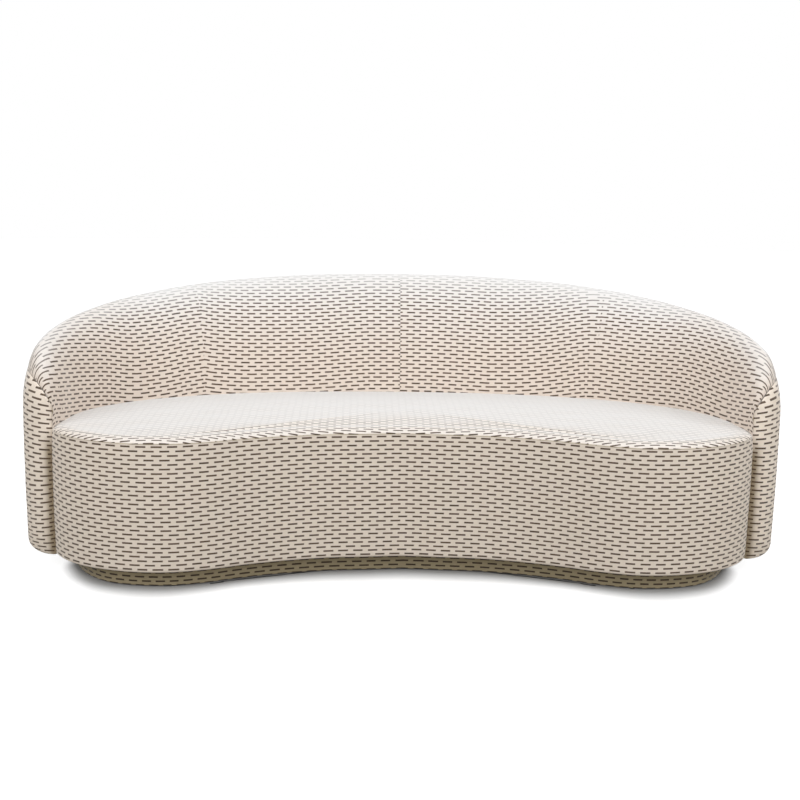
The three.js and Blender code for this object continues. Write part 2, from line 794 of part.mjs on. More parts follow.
function bottomRailOutline(from, to) {
  const inner = shellRows(from, to, (s) => [toSpace(s, paddingOverhang + backStandOff, 0)]);
  const outer = shellRows(from, to, (s) => [toSpace(s, s.thickness - bottomCornerRadius, 0)]);
  const points = [...inner.map((row) => row[0]), ...outer.map((row) => row[0]).reverse()];
  return points;
}

// A joining plate on each side ties the seat's bottom board to the shell's bottom rail.
const plateStation = stationAt(plateAngle);
const platePlace = {
  centre: toSpace(plateStation, paddingOverhang + fit, 0),
  direction: plateStation.direction,
};
const screwReach = plateLength / 2 - screwInset;
const screwAt = (reach) => {
  const { centre, direction } = platePlace;
  return plan(centre.x, centre.y).addScaledVector(direction, reach);
};
const boardScrew = screwAt(-screwReach);
const railScrew = screwAt(screwReach);
const holeFor = (p, side) => ({ x: side * p.x, y: p.y, radius: screwRadius + screwHoleClearance });

function addShellFrame() {
  const across = 2 * lastIndex - seamIndex;
  const armOutline = bottomRailOutline(panelStart, seamIndex);
  const backOutline = bottomRailOutline(seamIndex, across);
  const armRail = plate(trimOutlineEnd(armOutline), railBottom, railThickness, [holeFor(railScrew, 1)]);
  addPair('arm_bottom_rail', 'ply', armRail);
  add('back_bottom_rail', 'ply', plate(backOutline, railBottom, railThickness));
  const outer = (station) => topRailRow(station, 1);
  const inner = (station) => topRailRow(station, -1);
  addPair('arm_top_rail', 'ply', shellSlab(panelStart, seamIndex, outer, inner, [false, true]));
  add('back_top_rail', 'ply', shellSlab(seamIndex, across, outer, inner, [false, false]));
}

// The two corner points at the seam end of the arm's rail step back by the fit.
function trimOutlineEnd(outline) {
  const points = outline.map((p) => p.clone());
  const half = points.length / 2;
  shortenRow([points[half - 1]], [outline[half - 2]]);
  shortenRow([points[half]], [outline[half + 1]]);
  return points;
}

// Ribs are cut from board to the section, with a lightening hole where they are wide.
function ribShape(station, reliefs) {
  const innerDepthAt = station.pad + innerPanelThickness + 2 * fit + reliefs.inner;
  const outerDepthAt = frameOuterInset + reliefs.outer;
  const top = topRailTop(station) - topRailHeight - reliefs.top;
  const bottom = railTop + fit;
  const points = [plan(innerDepthAt, bottom), plan(innerDepthAt, station.rest)];
  const topShare = (top - station.rest) / (station.height - innerDepthAt - station.rest);
  for (let i = 1; i <= ribCurveSteps; i += 1) {
    const t = topShare * i / ribCurveSteps;
    const q = innerDepthAt + (station.ridgeOffset - innerDepthAt) * leanAt(station, t);
    points.push(plan(q, mix(station.rest, top, i / ribCurveSteps)));
  }
  points.push(...ribOuterPoints(station, innerDepthAt, outerDepthAt, top));
  points.push(plan(station.thickness - outerDepthAt, bottom));
  return points;
}

// Outer edge of a rib from its top down to the foot of the roll.
function ribOuterPoints(station, deep, shallow, top) {
  const foot = station.height - station.roll;
  const points = [];
  const at = (angle) => {
    const d = mix(shallow, deep, Math.sin(angle));
    const q = station.ridgeOffset + (station.thickness - d - station.ridgeOffset) * Math.cos(angle);
    return plan(q, foot + (station.roll - d) * Math.sin(angle));
  };
  let high = Math.PI / 2;
  let low = 0;
  for (let i = 0; i < halvingSteps; i += 1) {
    const middle = (high + low) / 2;
    if (at(middle).y > top) high = middle;
    else low = middle;
  }
  for (let i = 0; i <= ribCurveSteps; i += 1) {
    const point = at(low * (1 - i / ribCurveSteps));
    points.push(i === 0 ? plan(point.x, top) : point);
  }
  return points;
}

// Clearances that let a flat rib stand square inside the curved skins.
function ribReliefs(station, angle) {
  const next = stationAt(Math.min(angle + skewProbeAngle, rearMiddleAngle));
  const before = stationAt(angle - skewProbeAngle);
  const across = plan(-station.direction.y, station.direction.x);
  const relief = (change) => {
    const skew = Math.abs(change.dot(station.direction) / change.dot(across));
    return ribRelief + skew * boardThickness / 2;
  };
  const innerRun = next.inner.clone().sub(before.inner);
  const outerRun = toSpace(next, next.thickness, 0).sub(toSpace(before, before.thickness, 0));
  const rise = Math.abs(topRailTop(next) - topRailTop(before)) / innerRun.length();
  return {
    inner: relief(innerRun),
    outer: relief(plan(outerRun.x, outerRun.y)),
    top: ribRelief + rise * boardThickness / 2,
  };
}

function ribGeometry(angle) {
  const station = stationAt(angle);
  const points = ribShape(station, ribReliefs(station, angle));
  const shape = new THREE.Shape(points);
  const width = station.thickness - frameOuterInset - station.pad;
  const holeWidth = width * ribHoleWidthShare;
  const left = station.pad + innerPanelThickness;
  const middle = (left + station.thickness - frameOuterInset) / 2;
  const span = station.rest - railTop;
  const hole = span * ribHoleLengthShare;
  const corner = holeWidth * ribHoleCornerShare;
  for (const share of ribHoleHeightShares) {
    shape.holes.push(roundedSlot(middle, railTop + span * share, holeWidth, hole, corner));
  }
  const options = { depth: boardThickness, bevelEnabled: false, curveSegments: slotCornerSegments };
  const geometry = new THREE.ExtrudeGeometry(shape, options).translate(0, 0, -boardThickness / 2);
  const direction = new THREE.Vector3(station.direction.x, station.direction.y, 0);
  const up = new THREE.Vector3(0, 0, 1);
  const across = direction.clone().cross(up);
  const place = new THREE.Matrix4().makeBasis(direction, up, across);
  place.setPosition(station.inner.x, station.inner.y, 0);
  return facingOut(welded(geometry.applyMatrix4(place)));
}

function addRibs() {
  ribAngles.forEach((angle, i) => addPair(`shell_rib_${i + 1}`, 'ply', ribGeometry(angle)));
  add('shell_rib_centre', 'ply', ribGeometry(rearMiddleAngle));
}

function addBottomBoard() {
  const holes = [holeFor(boardScrew, 1), holeFor(boardScrew, -1)];
  add('seat_bottom_board', 'ply', plate(insetOutline(frameInset), wrapBottom, boardThickness, holes));
}

// Plinth: set back a little at the front and further at the sides and the rear.
function plinthInset(index) {
  const point = seatOutline[index];
  const sideways = THREE.MathUtils.smoothstep(Math.abs(point.x) / seatHalfWidth, plinthTurnShare, 1);
  const rearward = THREE.MathUtils.smoothstep(point.y, sideLineY, sideLineY + noseLength);
  return mix(plinthFrontInset, plinthSideInset, Math.max(sideways, rearward));
}

const plinthPoint = (index, extra) => insetPoint(index, plinthInset(index) + extra);
const plinthTop = wrapBottom - fit;
const plinthBoardInset = clothThickness + fit;

function plinthStrip(run, inset, thickness, heights, ends) {
  const pointAt = (index, depth) => plinthPoint(index, inset + depth);
  return standingStrip(run, pointAt, thickness, heights, ends);
}

function addPlinth() {
  const whole = seatOutline.map((_, index) => index);
  const boardHeights = [glideHeight, plinthTop];
  const coverHeights = [glideHeight - fit, plinthTop];
  add('plinth_cover', 'cloth', plinthStrip(whole, 0, clothThickness, coverHeights, 'closed'));
  const front = plinthStrip(frontRun, plinthBoardInset, boardThickness, boardHeights, 'open');
  const rear = plinthStrip(rearRun, plinthBoardInset, boardThickness, boardHeights, 'short');
  add('plinth_front_rail', 'ply', front);
  add('plinth_rear_rail', 'ply', rear);
  addPlinthCrossRails();
  addDustCover();
  addGlides();
}

const plinthInnerEdge = plinthBoardInset + boardThickness + fit;
const plinthInside = seatOutline.map((_, index) => plinthPoint(index, plinthInnerEdge));

function addDustCover() {
  add('dust_cover', 'lining', plate(plinthInside, plinthTop - dustThickness, dustThickness));
}

function addPlinthCrossRails() {
  const height = plinthTop - dustThickness - fit - glideHeight;
  [-1, 1].forEach((side, i) => {
    const x = side * crossRibSpacing;
    const { front, rear } = clearSpan(plinthInside, [x - boardThickness / 2, x + boardThickness / 2]);
    const geometry = new THREE.BoxGeometry(boardThickness, rear - front, height);
    geometry.translate(x, (front + rear) / 2, glideHeight + height / 2);
    add(`plinth_cross_rail_${i + 1}`, 'ply', welded(geometry));
  });
}

function addGlides() {
  const height = glideHeight - fit;
  const names = ['front', 'rear'];
  glideShares.forEach((share, i) => {
    const index = Math.round(share * (halfOutline.length - 1));
    const point = plinthPoint(index, plinthBoardInset + boardThickness / 2);
    const disc = new THREE.CylinderGeometry(glideRadius, glideRadius, height, glideSegments);
    addPair(`${names[i]}_glide`, 'nylon', disc.rotateX(Math.PI / 2).translate(point.x, point.y, height / 2));
  });
}

function addJoiningPlates() {
  const plateTop = railBottom - fit;
  const half = plateLength / 2;
  const side = plateWidth / 2;
  const outline = [plan(-half, -side), plan(half, -side), plan(half, side), plan(-half, side)];
  const holes = [-screwReach, screwReach].map((x) => ({ x, y: 0, radius: screwRadius + screwHoleClearance }));
  const geometry = plate(outline, plateTop - plateThickness, plateThickness, holes);
  geometry.rotateZ(platePlace.direction.angle()).translate(platePlace.centre.x, platePlace.centre.y, 0);
  addPair('joining_plate', 'steel', geometry);
  addPair('base_plate_screw', 'steel', screwGeometry(boardScrew, plateTop - plateThickness - fit));
  addPair('rail_plate_screw', 'steel', screwGeometry(railScrew, plateTop - plateThickness - fit));
}

function screwGeometry(point, headTop) {
  const headBottom = headTop - screwHeadHeight;
  const length = railBottom + boardThickness - screwHeadHeight - headBottom;
  const crown = screwHeadRadius - screwHeadHeight / 2;
  const shank = new THREE.CylinderGeometry(screwRadius, screwRadius, length, screwSegments);
  const head = new THREE.CylinderGeometry(screwHeadRadius, crown, screwHeadHeight, screwSegments);
  shank.translate(0, length / 2, 0);
  head.translate(0, screwHeadHeight / 2, 0);
  return joined([shank, head]).rotateX(Math.PI / 2).translate(point.x, point.y, headBottom);
}

addSeatSoftParts();
addBottomBoard();
addDeckRails();
addCrossRibs();
addWebbing();
addShellCovers();
addShellPadding();
addShellPanels();
addShellFrame();
addRibs();
addPlinth();
addJoiningPlates();

const frontEdge = Math.min(...seatOutline.map((p) => p.y));
root.position.y = -(frontEdge + sideLineY + outerDepth) / 2;

export default root;
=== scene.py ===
"""Looks of a curved sofa with a wrap-round back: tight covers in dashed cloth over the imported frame.

Lengths are metres in the frame's own axes: X along the sofa, the sitter faces -Y, Z = 0 is the floor.
"""
import math

import bmesh
import bpy
import numpy as np
from bpy.props import FloatProperty, FloatVectorProperty, PointerProperty
from mathutils import Matrix, Vector


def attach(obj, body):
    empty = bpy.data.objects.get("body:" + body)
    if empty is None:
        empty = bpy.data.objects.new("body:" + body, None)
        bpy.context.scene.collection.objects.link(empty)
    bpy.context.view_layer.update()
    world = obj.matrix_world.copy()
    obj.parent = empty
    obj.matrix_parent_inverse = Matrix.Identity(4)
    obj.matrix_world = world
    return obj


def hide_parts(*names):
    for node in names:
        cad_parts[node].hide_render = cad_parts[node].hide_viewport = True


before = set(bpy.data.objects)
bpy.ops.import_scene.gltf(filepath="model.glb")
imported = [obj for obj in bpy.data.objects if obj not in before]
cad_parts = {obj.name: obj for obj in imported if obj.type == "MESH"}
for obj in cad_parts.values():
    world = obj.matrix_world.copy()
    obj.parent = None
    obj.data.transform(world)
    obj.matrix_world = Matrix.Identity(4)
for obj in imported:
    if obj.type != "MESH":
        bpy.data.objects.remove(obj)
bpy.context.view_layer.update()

bl_info = {
    "name": "Curved Sofa",
    "version": (1, 0, 0),
    "blender": (4, 5, 0),
    "location": "View3D > Sidebar > Sofa",
    "description": "Builds the covers, materials and stage of a curved sofa",
    "category": "Object",
}

MM = 0.001
UV_NAME = "Flat"

# The shell and the seat, as the solids have them
SOFA_HALF_WIDTH = 1138 * MM
SEAT_HALF_WIDTH = 1048 * MM
SEAT_DEPTH = 630 * MM
LOBE_DEPTH = 168 * MM
SIDE_LINE = 60 * MM
BACK_THICKNESS = 257 * MM
OVERHANG = 38 * MM
INNER_EXPONENT = 2.27
OUTER_EXPONENT = 2.2
BACK_HEIGHT = 818 * MM
RIDGE_HEIGHT = 640 * MM
TIP_HEIGHT = 500 * MM
RISE_EXPONENT = 0.85
ARM_RIDGE = 68 * MM
BACK_RIDGE = 205 * MM
ARM_ROLL = 158 * MM
BACK_ROLL = 130 * MM
CORNER_RADIUS = 34 * MM
TURN_UNDER = 26 * MM
NOSE_TIP = 4 * MM
NOSE_LENGTH = 125 * MM
FIT = 0.3 * MM
CLOTH = 1.6 * MM
UNDERSIDE = 53 * MM
SEAM_HEIGHT = 428 * MM
EDGE_RISE = 15 * MM
CROWN = 9 * MM
EDGE_ROLL = 52 * MM
ARM_LEAN = (2.2, 2.2)
BACK_LEAN = (1.4, 1.7)
NOSE_SEAM = 88
BACK_SEAM = 36
NOSE_SEAM_EXPONENT = 0.4
SPLIT_ANGLE = 53
BAND_SPLIT_ANGLE = 21
DUST_SHEET = 0.8 * MM
GLIDE_HEIGHT = 4 * MM
PLINTH_FRONT = 36 * MM
PLINTH_SIDE = 66 * MM
PLINTH_NARROWING = (0.8, 1.0)
FRONT_SHARES = (
    (0, 0), (0.107, 0.06), (0.217, 0.13), (0.331, 0.3), (0.44, 0.54), (0.544, 0.83),
    (0.648, 1), (0.755, 0.965), (0.868, 0.72), (0.942, 0.36), (0.985, -0.05),
)

# How far in mm the rows of dashes lie off the level round the inside, at some angles of stations
DRIFT = {
    "arm_left": ((-9, 67), (-6.8, 64), (-3.9, 60), (0.3, 54), (4.2, 47), (9.1, 39.5), (13, 35), (16, 31),
                 (19, 27), (22.5, 23), (26, 17.5), (29, 11), (32, 4.5), (35, 0.5), (37, 0), (40, 1),
                 (43, 3), (45.6, 6.5), (48, 11), (53, 17)),
    "arm_right": ((-9, 14), (-4.4, 6), (0, 2.5), (5, -4), (10.5, -9), (15, -8), (19, -5), (23.2, -1.7),
                  (26.4, 1.1), (29.5, 1.9), (32.5, 1.4), (35.3, 0), (38, -1.5), (43.3, -2.9), (48.2, -2.1),
                  (53, 0)),
    "back_left": ((53, 17.6), (55, 12), (57.3, 8.1), (59.4, 5), (61.6, 2.5), (63.6, 1.1), (67.7, 0.2),
                  (71.6, 0.1), (75.4, 1.9), (79, 5.1), (82.5, 9.9), (85.7, 13.6), (90, 14.3)),
    "back_right": ((53, 37.7), (55.2, 36.7), (57.4, 31.8), (59.5, 25.8), (61.7, 20.1), (63.7, 14.9),
                   (65.8, 10.3), (67.8, 6.5), (69.8, 3.6), (71.7, 1.7), (75.5, 0), (79, 2.2), (82.6, 4.3),
                   (85.8, 6.2), (90, 7.3)),
}
# How steeply the rows of the outer wall climb away from the arm's front, at some heights in mm
CLIMB = {
    "left": ((60, 0), (120, -0.18), (160, -0.18), (220, -0.2), (250, -0.2), (285, -0.06), (320, 0),
             (350, 0.05), (390, 0.12), (430, 0.12), (476, 0.2), (510, 0.29), (550, 0.35), (587, 0.45)),
    "right": ((380, -0.04), (395, 0), (420, 0.12), (450, 0.16), (480, 0.2), (520, 0.26), (550, 0.4)),
}
SIDES = {"right": 1, "left": -1}
CLIMB_REACH = 100 * MM
CLIMB_FADE = 450 * MM
NOSE_REACH = 45 * MM
ROW_START = 22.5 * MM
ROW_MIDDLE = 200 * MM
PLINTH_ROW = 10 * MM
BOXING_ROW = 421.6 * MM

# The grids of the covers: degrees between stations, and counts of rings and steps
ARM_STEP = 0.75
BACK_STEP = 0.55
ROLL_RINGS = 14
TOP_RINGS = 27
DUST_RINGS = 21
BAND_STEPS = 44
BAND_EDGE_STEPS = 5
PLINTH_STEPS = 14
NORMAL_SMOOTHING = 12
NOSE_TURN = 20
SEAT_SIDE_POINTS = slice(60, 150)

# The relief of the covers
RIPPLES = 7
RIPPLE_LENGTHS = (0.09, 0.34)
PUCKER_LENGTHS = (0.013, 0.019, 0.031, 0.047)
GATHERS = 0.28
SEAT_GATHERS = 0.5
SEAT_SEAM = 0.15
BAND_FULLNESS = 0.7
BAND_RADIUS = 6 * MM
BAND_TURN = 6.5 * MM
BAND_CALM = 40 * MM
SEAT_CALM = 60 * MM
FULL_SECTION = 250 * MM
SHOULDER_ANGLE = 36
SHOULDER_SPREAD = 14
SHOULDER_STRETCH = 0.7
NOSE_PULL = 0.32
NOSE_PULL_FROM = 6
NOSE_PULL_OVER = 18
U_COLUMN = 0.42
ARM_SEAMS = {"top": 0.55, "end": 0.08}
BACK_SEAMS = {"top": 0.55, "start": 0.08, "end": 0.03}
OUTSIDE_SEAMS = {"start": 1, "bottom": 0.55, "end": 0.5}
PLINTH_FULLNESS = 0.8 * MM
PLINTH_RIPPLE = 0.3 * MM
PLINTH_SEAM = 1.2 * MM
PLINTH_SEAM_REACH = 5 * MM
PLINTH_BOARD = 18 * MM
DUST_SAG = 3.2 * MM
DUST_PUCKER = 0.5 * MM
FLOOR_DROP = 0.4 * MM

OUTER_DEPTH = SEAT_DEPTH - SIDE_LINE + BACK_THICKNESS
SHIFT = (LOBE_DEPTH - SIDE_LINE - OUTER_DEPTH) / 2
SEAT_CENTRE = np.array((0, (SEAT_DEPTH - LOBE_DEPTH) / 2))


def mix(a, b, share):
    return a + (b - a) * share


def clamp(value):
    return min(max(value, 0.0), 1.0)


def smooth(low, high, value):
    share = np.clip((value - low) / (high - low), 0, 1)
    return share * share * (3 - 2 * share)


def rolled_height(inset):
    """Height of the seat's upper face some way in from its edge."""
    share = clamp(inset / EDGE_ROLL)
    return SEAM_HEIGHT + EDGE_RISE * math.sqrt(1 - (1 - share) ** 2)


def super_arc(angle, half_width, depth, exponent):
    """A point of a superellipse quarter, from the side (0) to the rear middle (a right angle)."""
    power = 2 / exponent
    x = half_width * math.cos(angle) ** power
    return np.array((x, SIDE_LINE + depth * math.sin(angle) ** power))


# Seat outline

def catmull(points, share):
    """Centripetal curve through the middle points, from the second to the last but one."""
    spans = len(points) - 3
    where = clamp(share) * spans
    k = min(int(where), spans - 1)
    t = where - k
    p0, p1, p2, p3 = (np.array(points[k + i], float) for i in range(4))
    d0, d1, d2 = (np.linalg.norm(b - a) ** 0.5 for a, b in ((p0, p1), (p1, p2), (p2, p3)))
    m1 = ((p1 - p0) / d0 - (p2 - p0) / (d0 + d1) + (p2 - p1) / d1) * d1
    m2 = ((p2 - p1) / d1 - (p3 - p1) / (d1 + d2) + (p3 - p2) / d2) * d1
    return p1 + m1 * t + (-3 * p1 + 3 * p2 - 2 * m1 - m2) * t ** 2 + (2 * p1 - 2 * p2 + m1 + m2) * t ** 3


def half_outline(front_steps=110, rear_steps=60):
    """Right half of the seat's plan, with the angle of each point of the rear arc."""
    front = [(x * SEAT_HALF_WIDTH, -y * LOBE_DEPTH) for x, y in FRONT_SHARES]
    side = [(SEAT_HALF_WIDTH, SIDE_LINE), (SEAT_HALF_WIDTH, SIDE_LINE + NOSE_LENGTH)]
    knots = [(-front[1][0], front[1][1])] + front + side
    points = [catmull(knots, i / front_steps) for i in range(front_steps + 1)]
    angles = [-1.0] * len(points)
    for i in range(1, rear_steps + 1):
        angle = 90 * i / rear_steps
        depth = SEAT_DEPTH - SIDE_LINE
        points.append(super_arc(math.radians(angle), SEAT_HALF_WIDTH, depth, INNER_EXPONENT))
        angles.append(angle)
    return np.array(points), np.array(angles)


def outline_normals(points):
    along = np.roll(points, -1, axis=0) - np.roll(points, 1, axis=0)
    for _ in range(NORMAL_SMOOTHING):
        along = (np.roll(along, 1, axis=0) + 2 * along + np.roll(along, -1, axis=0)) / 4
    along /= np.linalg.norm(along, axis=1, keepdims=True)
    return np.stack([along[:, 1], -along[:, 0]], axis=1)


HALF_OUTLINE, HALF_ANGLES = half_outline()
OUTLINE = np.concatenate([HALF_OUTLINE, HALF_OUTLINE[1:-1][::-1] * np.array((-1, 1))])
OUTLINE_ANGLES = np.concatenate([HALF_ANGLES, HALF_ANGLES[1:-1][::-1]])
OUTLINE_NORMALS = outline_normals(OUTLINE)
SIDE_POINTS = HALF_OUTLINE[SEAT_SIDE_POINTS]
OUTLINE_LENGTH = np.concatenate([[0], np.cumsum(np.linalg.norm(np.diff(OUTLINE, axis=0), axis=1))])
OUTLINE_WHOLE = OUTLINE_LENGTH[-1] + np.linalg.norm(OUTLINE[0] - OUTLINE[-1])


def raised(plan, heights):
    """A grid in plan, moved to its place and raised to its columns' heights."""
    z = np.broadcast_to(heights, plan.shape[:2])
    grid = np.concatenate([plan, z[:, :, None]], axis=2)
    grid[:, :, 1] += SHIFT
    return grid


def standing_grid(picks, insets, heights):
    """Rows on the outline's picked points, columns at pairs of insets and heights."""
    insets = np.broadcast_to(insets, (len(picks), len(heights)))
    return raised(OUTLINE[picks][:, None] - OUTLINE_NORMALS[picks][:, None] * insets[:, :, None], heights)


class Station:
    """An upright section of the shell. A negative angle stands for the straight run at the nose."""

    def __init__(self, angle, share=None):
        self.angle = angle
        turned = math.radians(angle)
        reach = (SEAT_HALF_WIDTH - OVERHANG, SEAT_DEPTH - SIDE_LINE - OVERHANG)
        self.inner = super_arc(turned, *reach, INNER_EXPONENT)
        self.outer = super_arc(turned, SOFA_HALF_WIDTH, OUTER_DEPTH, OUTER_EXPONENT)
        if share is not None:
            drop = NOSE_TIP + share * NOSE_LENGTH - SIDE_LINE
            self.inner[1] += drop
            self.outer[1] += drop
            self.angle = drop / NOSE_LENGTH * NOSE_TURN
        along = clamp((self.inner[1] - NOSE_TIP) / NOSE_LENGTH)
        full = math.sqrt(1 - (1 - along) ** 2)
        crease = np.interp(self.inner[1], SIDE_POINTS[:, 1], SIDE_POINTS[:, 0]) + FIT
        self.inner[0] = mix(crease, self.inner[0], full)
        self.outer[0] = mix(crease, self.outer[0], full)
        turn = math.sin(turned)
        across = self.outer - self.inner
        self.thickness = math.hypot(*across)
        self.direction = across / max(self.thickness, 1e-9)
        self.ridge = mix(ARM_RIDGE, BACK_RIDGE, turn) * full
        self.height = mix(TIP_HEIGHT, mix(RIDGE_HEIGHT, BACK_HEIGHT, turn ** RISE_EXPONENT), full)
        self.roll = mix(ARM_ROLL, BACK_ROLL, turn) * full
        self.lean = (mix(ARM_LEAN[0], BACK_LEAN[0], turn), mix(ARM_LEAN[1], BACK_LEAN[1], turn))
        self.seam = math.radians(mix(NOSE_SEAM, BACK_SEAM, along ** NOSE_SEAM_EXPONENT))
        self.rest = rolled_height(EDGE_ROLL * full) + FIT
        self.full = full
        self.radius = CORNER_RADIUS * full

    def place(self, q, z):
        x, y = self.inner + self.direction * q
        return (x, y + SHIFT, z)

    def heart(self):
        """A point inside the section, to tell a cover's outer side."""
        return self.place(self.thickness / 2, mix(UNDERSIDE, self.height, 0.6))

    def face(self, t):
        a, b = self.lean
        lean = 1 - (1 - t ** a) ** (1 / b)
        return self.place(self.ridge * lean, mix(self.rest, self.height, t))

    def over(self, angle):
        q = self.ridge + (self.thickness - self.ridge) * math.cos(angle)
        return self.place(q, self.height - self.roll + self.roll * math.sin(angle))

    def wall(self, share):
        return self.place(self.thickness, mix(self.height - self.roll, UNDERSIDE + self.radius, share))

    def corner(self, share):
        angle = share * math.pi / 2
        q = self.thickness - self.radius + self.radius * math.cos(angle)
        return self.place(q, UNDERSIDE + self.radius - self.radius * math.sin(angle))

    def under(self, share):
        return self.place(self.thickness - self.radius - TURN_UNDER * self.full * share, UNDERSIDE)


def inside_section(station, face_steps=44, roll_steps=26):
    points = [station.face(math.sin(i / face_steps * math.pi / 2)) for i in range(face_steps)]
    for i in range(roll_steps + 1):
        points.append(station.over(mix(math.pi / 2, station.seam, i / roll_steps)))
    return points


def outside_section(station, roll_steps=22, wall_steps=26, corner_steps=8, under_steps=4):
    points = [station.over(station.seam * (1 - i / roll_steps)) for i in range(roll_steps)]
    points += [station.wall(i / wall_steps) for i in range(wall_steps)]
    points += [station.corner(i / corner_steps) for i in range(corner_steps)]
    points += [station.under(i / under_steps) for i in range(under_steps + 1)]
    return points


def nose_stations(count=22):
    full_share = (SIDE_LINE - NOSE_TIP) / NOSE_LENGTH
    return [Station(0, full_share * (i / count) ** 2) for i in range(count)]


def arc_stations(first, last, step):
    count = round((last - first) / step)
    return [Station(mix(first, last, i / count)) for i in range(count + 1)]


# Cloth pieces are grids of points: a row for each station, a column for each place along its section

def grid_normals(grid):
    normal = np.cross(*np.gradient(grid, axis=(0, 1)))
    length = np.linalg.norm(normal, axis=2, keepdims=True)
    return normal / np.maximum(length, 1e-12)


def path_lengths(grid, axis):
    steps = np.linalg.norm(np.diff(grid, axis=axis), axis=2)
    zero = np.zeros_like(np.take(steps, [0], axis=axis))
    return np.concatenate([zero, np.cumsum(steps, axis=axis)], axis=axis)


def ripple(a, b, seed):
    """A quiet, seeded unevenness between -1 and 1 over two lengths."""
    rng = np.random.default_rng(seed)
    total = np.zeros_like(a)
    for _ in range(RIPPLES):
        turn = rng.uniform(0, 2 * math.pi)
        wave = rng.uniform(*RIPPLE_LENGTHS)
        phase = rng.uniform(0, 2 * math.pi)
        total += np.sin((a * math.cos(turn) + b * math.sin(turn)) * 2 * math.pi / wave + phase)
    return total / RIPPLES


def pucker(along, seed):
    """Fine gathers along a seam, between 0 and 1."""
    rng = np.random.default_rng(seed)
    total = np.zeros_like(along)
    for wave in PUCKER_LENGTHS:
        total += np.sin(along * 2 * math.pi / wave + rng.uniform(0, 2 * math.pi))
    return 0.5 + total / (2 * len(PUCKER_LENGTHS))


def gathers(along, seed, share=GATHERS):
    """How far a seam's dip keeps its depth along the seam."""
    return 1 - share + share * pucker(along, seed)


def seam_dip(distance, reach):
    """How deep a cover lies near a seam: 1 at the stitches, 0 beyond the reach."""
    share = np.clip(distance / reach, 0, 1)
    return 1 - np.sqrt(1 - (1 - share) ** 2)


def new_object(name, data):
    made = bpy.data.objects.new(name, data)
    bpy.context.scene.collection.objects.link(made)
    return made


def grid_object(name, grid, uv, facing):
    """A smooth face that follows a grid of points, with its own UV map in metres."""
    rows, columns = grid.shape[:2]
    bm = bmesh.new()
    bmesh.ops.create_grid(bm, x_segments=columns - 1, y_segments=rows - 1, size=1)
    for vert, point in zip(bm.verts, grid.reshape(-1, 3)):
        vert.co = point
    uv_layer = bm.loops.layers.uv.new(UV_NAME)
    places = uv.reshape(-1, 2)
    for face in bm.faces:
        face.smooth = True
        for loop in face.loops:
            loop[uv_layer].uv = places[loop.vert.index]
    bm.normal_update()
    bm.faces.ensure_lookup_table()
    middle = bm.faces[(rows // 2) * (columns - 1) + columns // 3]
    if middle.normal.dot(Vector(facing)) < 0:
        bmesh.ops.reverse_faces(bm, faces=bm.faces[:])
    bmesh.ops.remove_doubles(bm, verts=bm.verts[:], dist=0.001 * MM)
    for edge in bm.edges:
        edge.smooth = not edge.is_boundary
    mesh = bpy.data.meshes.new(name)
    bm.to_mesh(mesh)
    bm.free()
    return new_object(name, mesh)


def cloth_piece(name, grid, uv, facing, thickness=CLOTH):
    """A closed piece of cloth whose outer face follows a grid of points."""
    piece = grid_object(name, grid, uv, facing)
    wall = piece.modifiers.new("thickness", "SOLIDIFY")
    wall.thickness = thickness
    wall.offset = -1
    return piece


def closed_rows(grid):
    """The grid with its first row once more at its end."""
    return np.concatenate([grid, grid[:1]])


def closed_cap(grid):
    """A ring grid closed round, with its last column drawn together in one point."""
    middle = np.broadcast_to(grid[:, -1].mean(axis=0), (len(grid), 1, grid.shape[2]))
    return closed_rows(np.concatenate([grid, middle], axis=1))


def finish_piece(piece, material, replaced):
    piece.data.materials.append(bpy.data.materials[material])
    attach(piece, "root")
    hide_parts(*replaced)


# Node trees

def maths_methods(operation):
    """The method of one operation, and the same for a signal on its right side."""
    def method(self, *others):
        return self.paint.maths(operation, self, *others)

    def reflected(self, other):
        return self.paint.maths(operation, other, self)

    return method, reflected


class Signal:
    """A socket of a node tree that takes part in sums written with operators."""

    __add__, __radd__ = maths_methods("ADD")
    __sub__, __rsub__ = maths_methods("SUBTRACT")
    __mul__, __rmul__ = maths_methods("MULTIPLY")
    __truediv__, __rtruediv__ = maths_methods("DIVIDE")
    floor = maths_methods("FLOOR")[0]
    fract = maths_methods("FRACT")[0]
    size = maths_methods("ABSOLUTE")[0]
    wave = maths_methods("SINE")[0]
    most = maths_methods("MAXIMUM")[0]

    def __init__(self, paint, socket):
        self.paint = paint
        self.socket = socket

    def step(self, low, high):
        """0 below the low value, 1 above the high one, smooth between."""
        ends = {0: self, 1: low, 2: high}
        return self.paint.read(0, "ShaderNodeMapRange", ends, interpolation_type="SMOOTHSTEP")


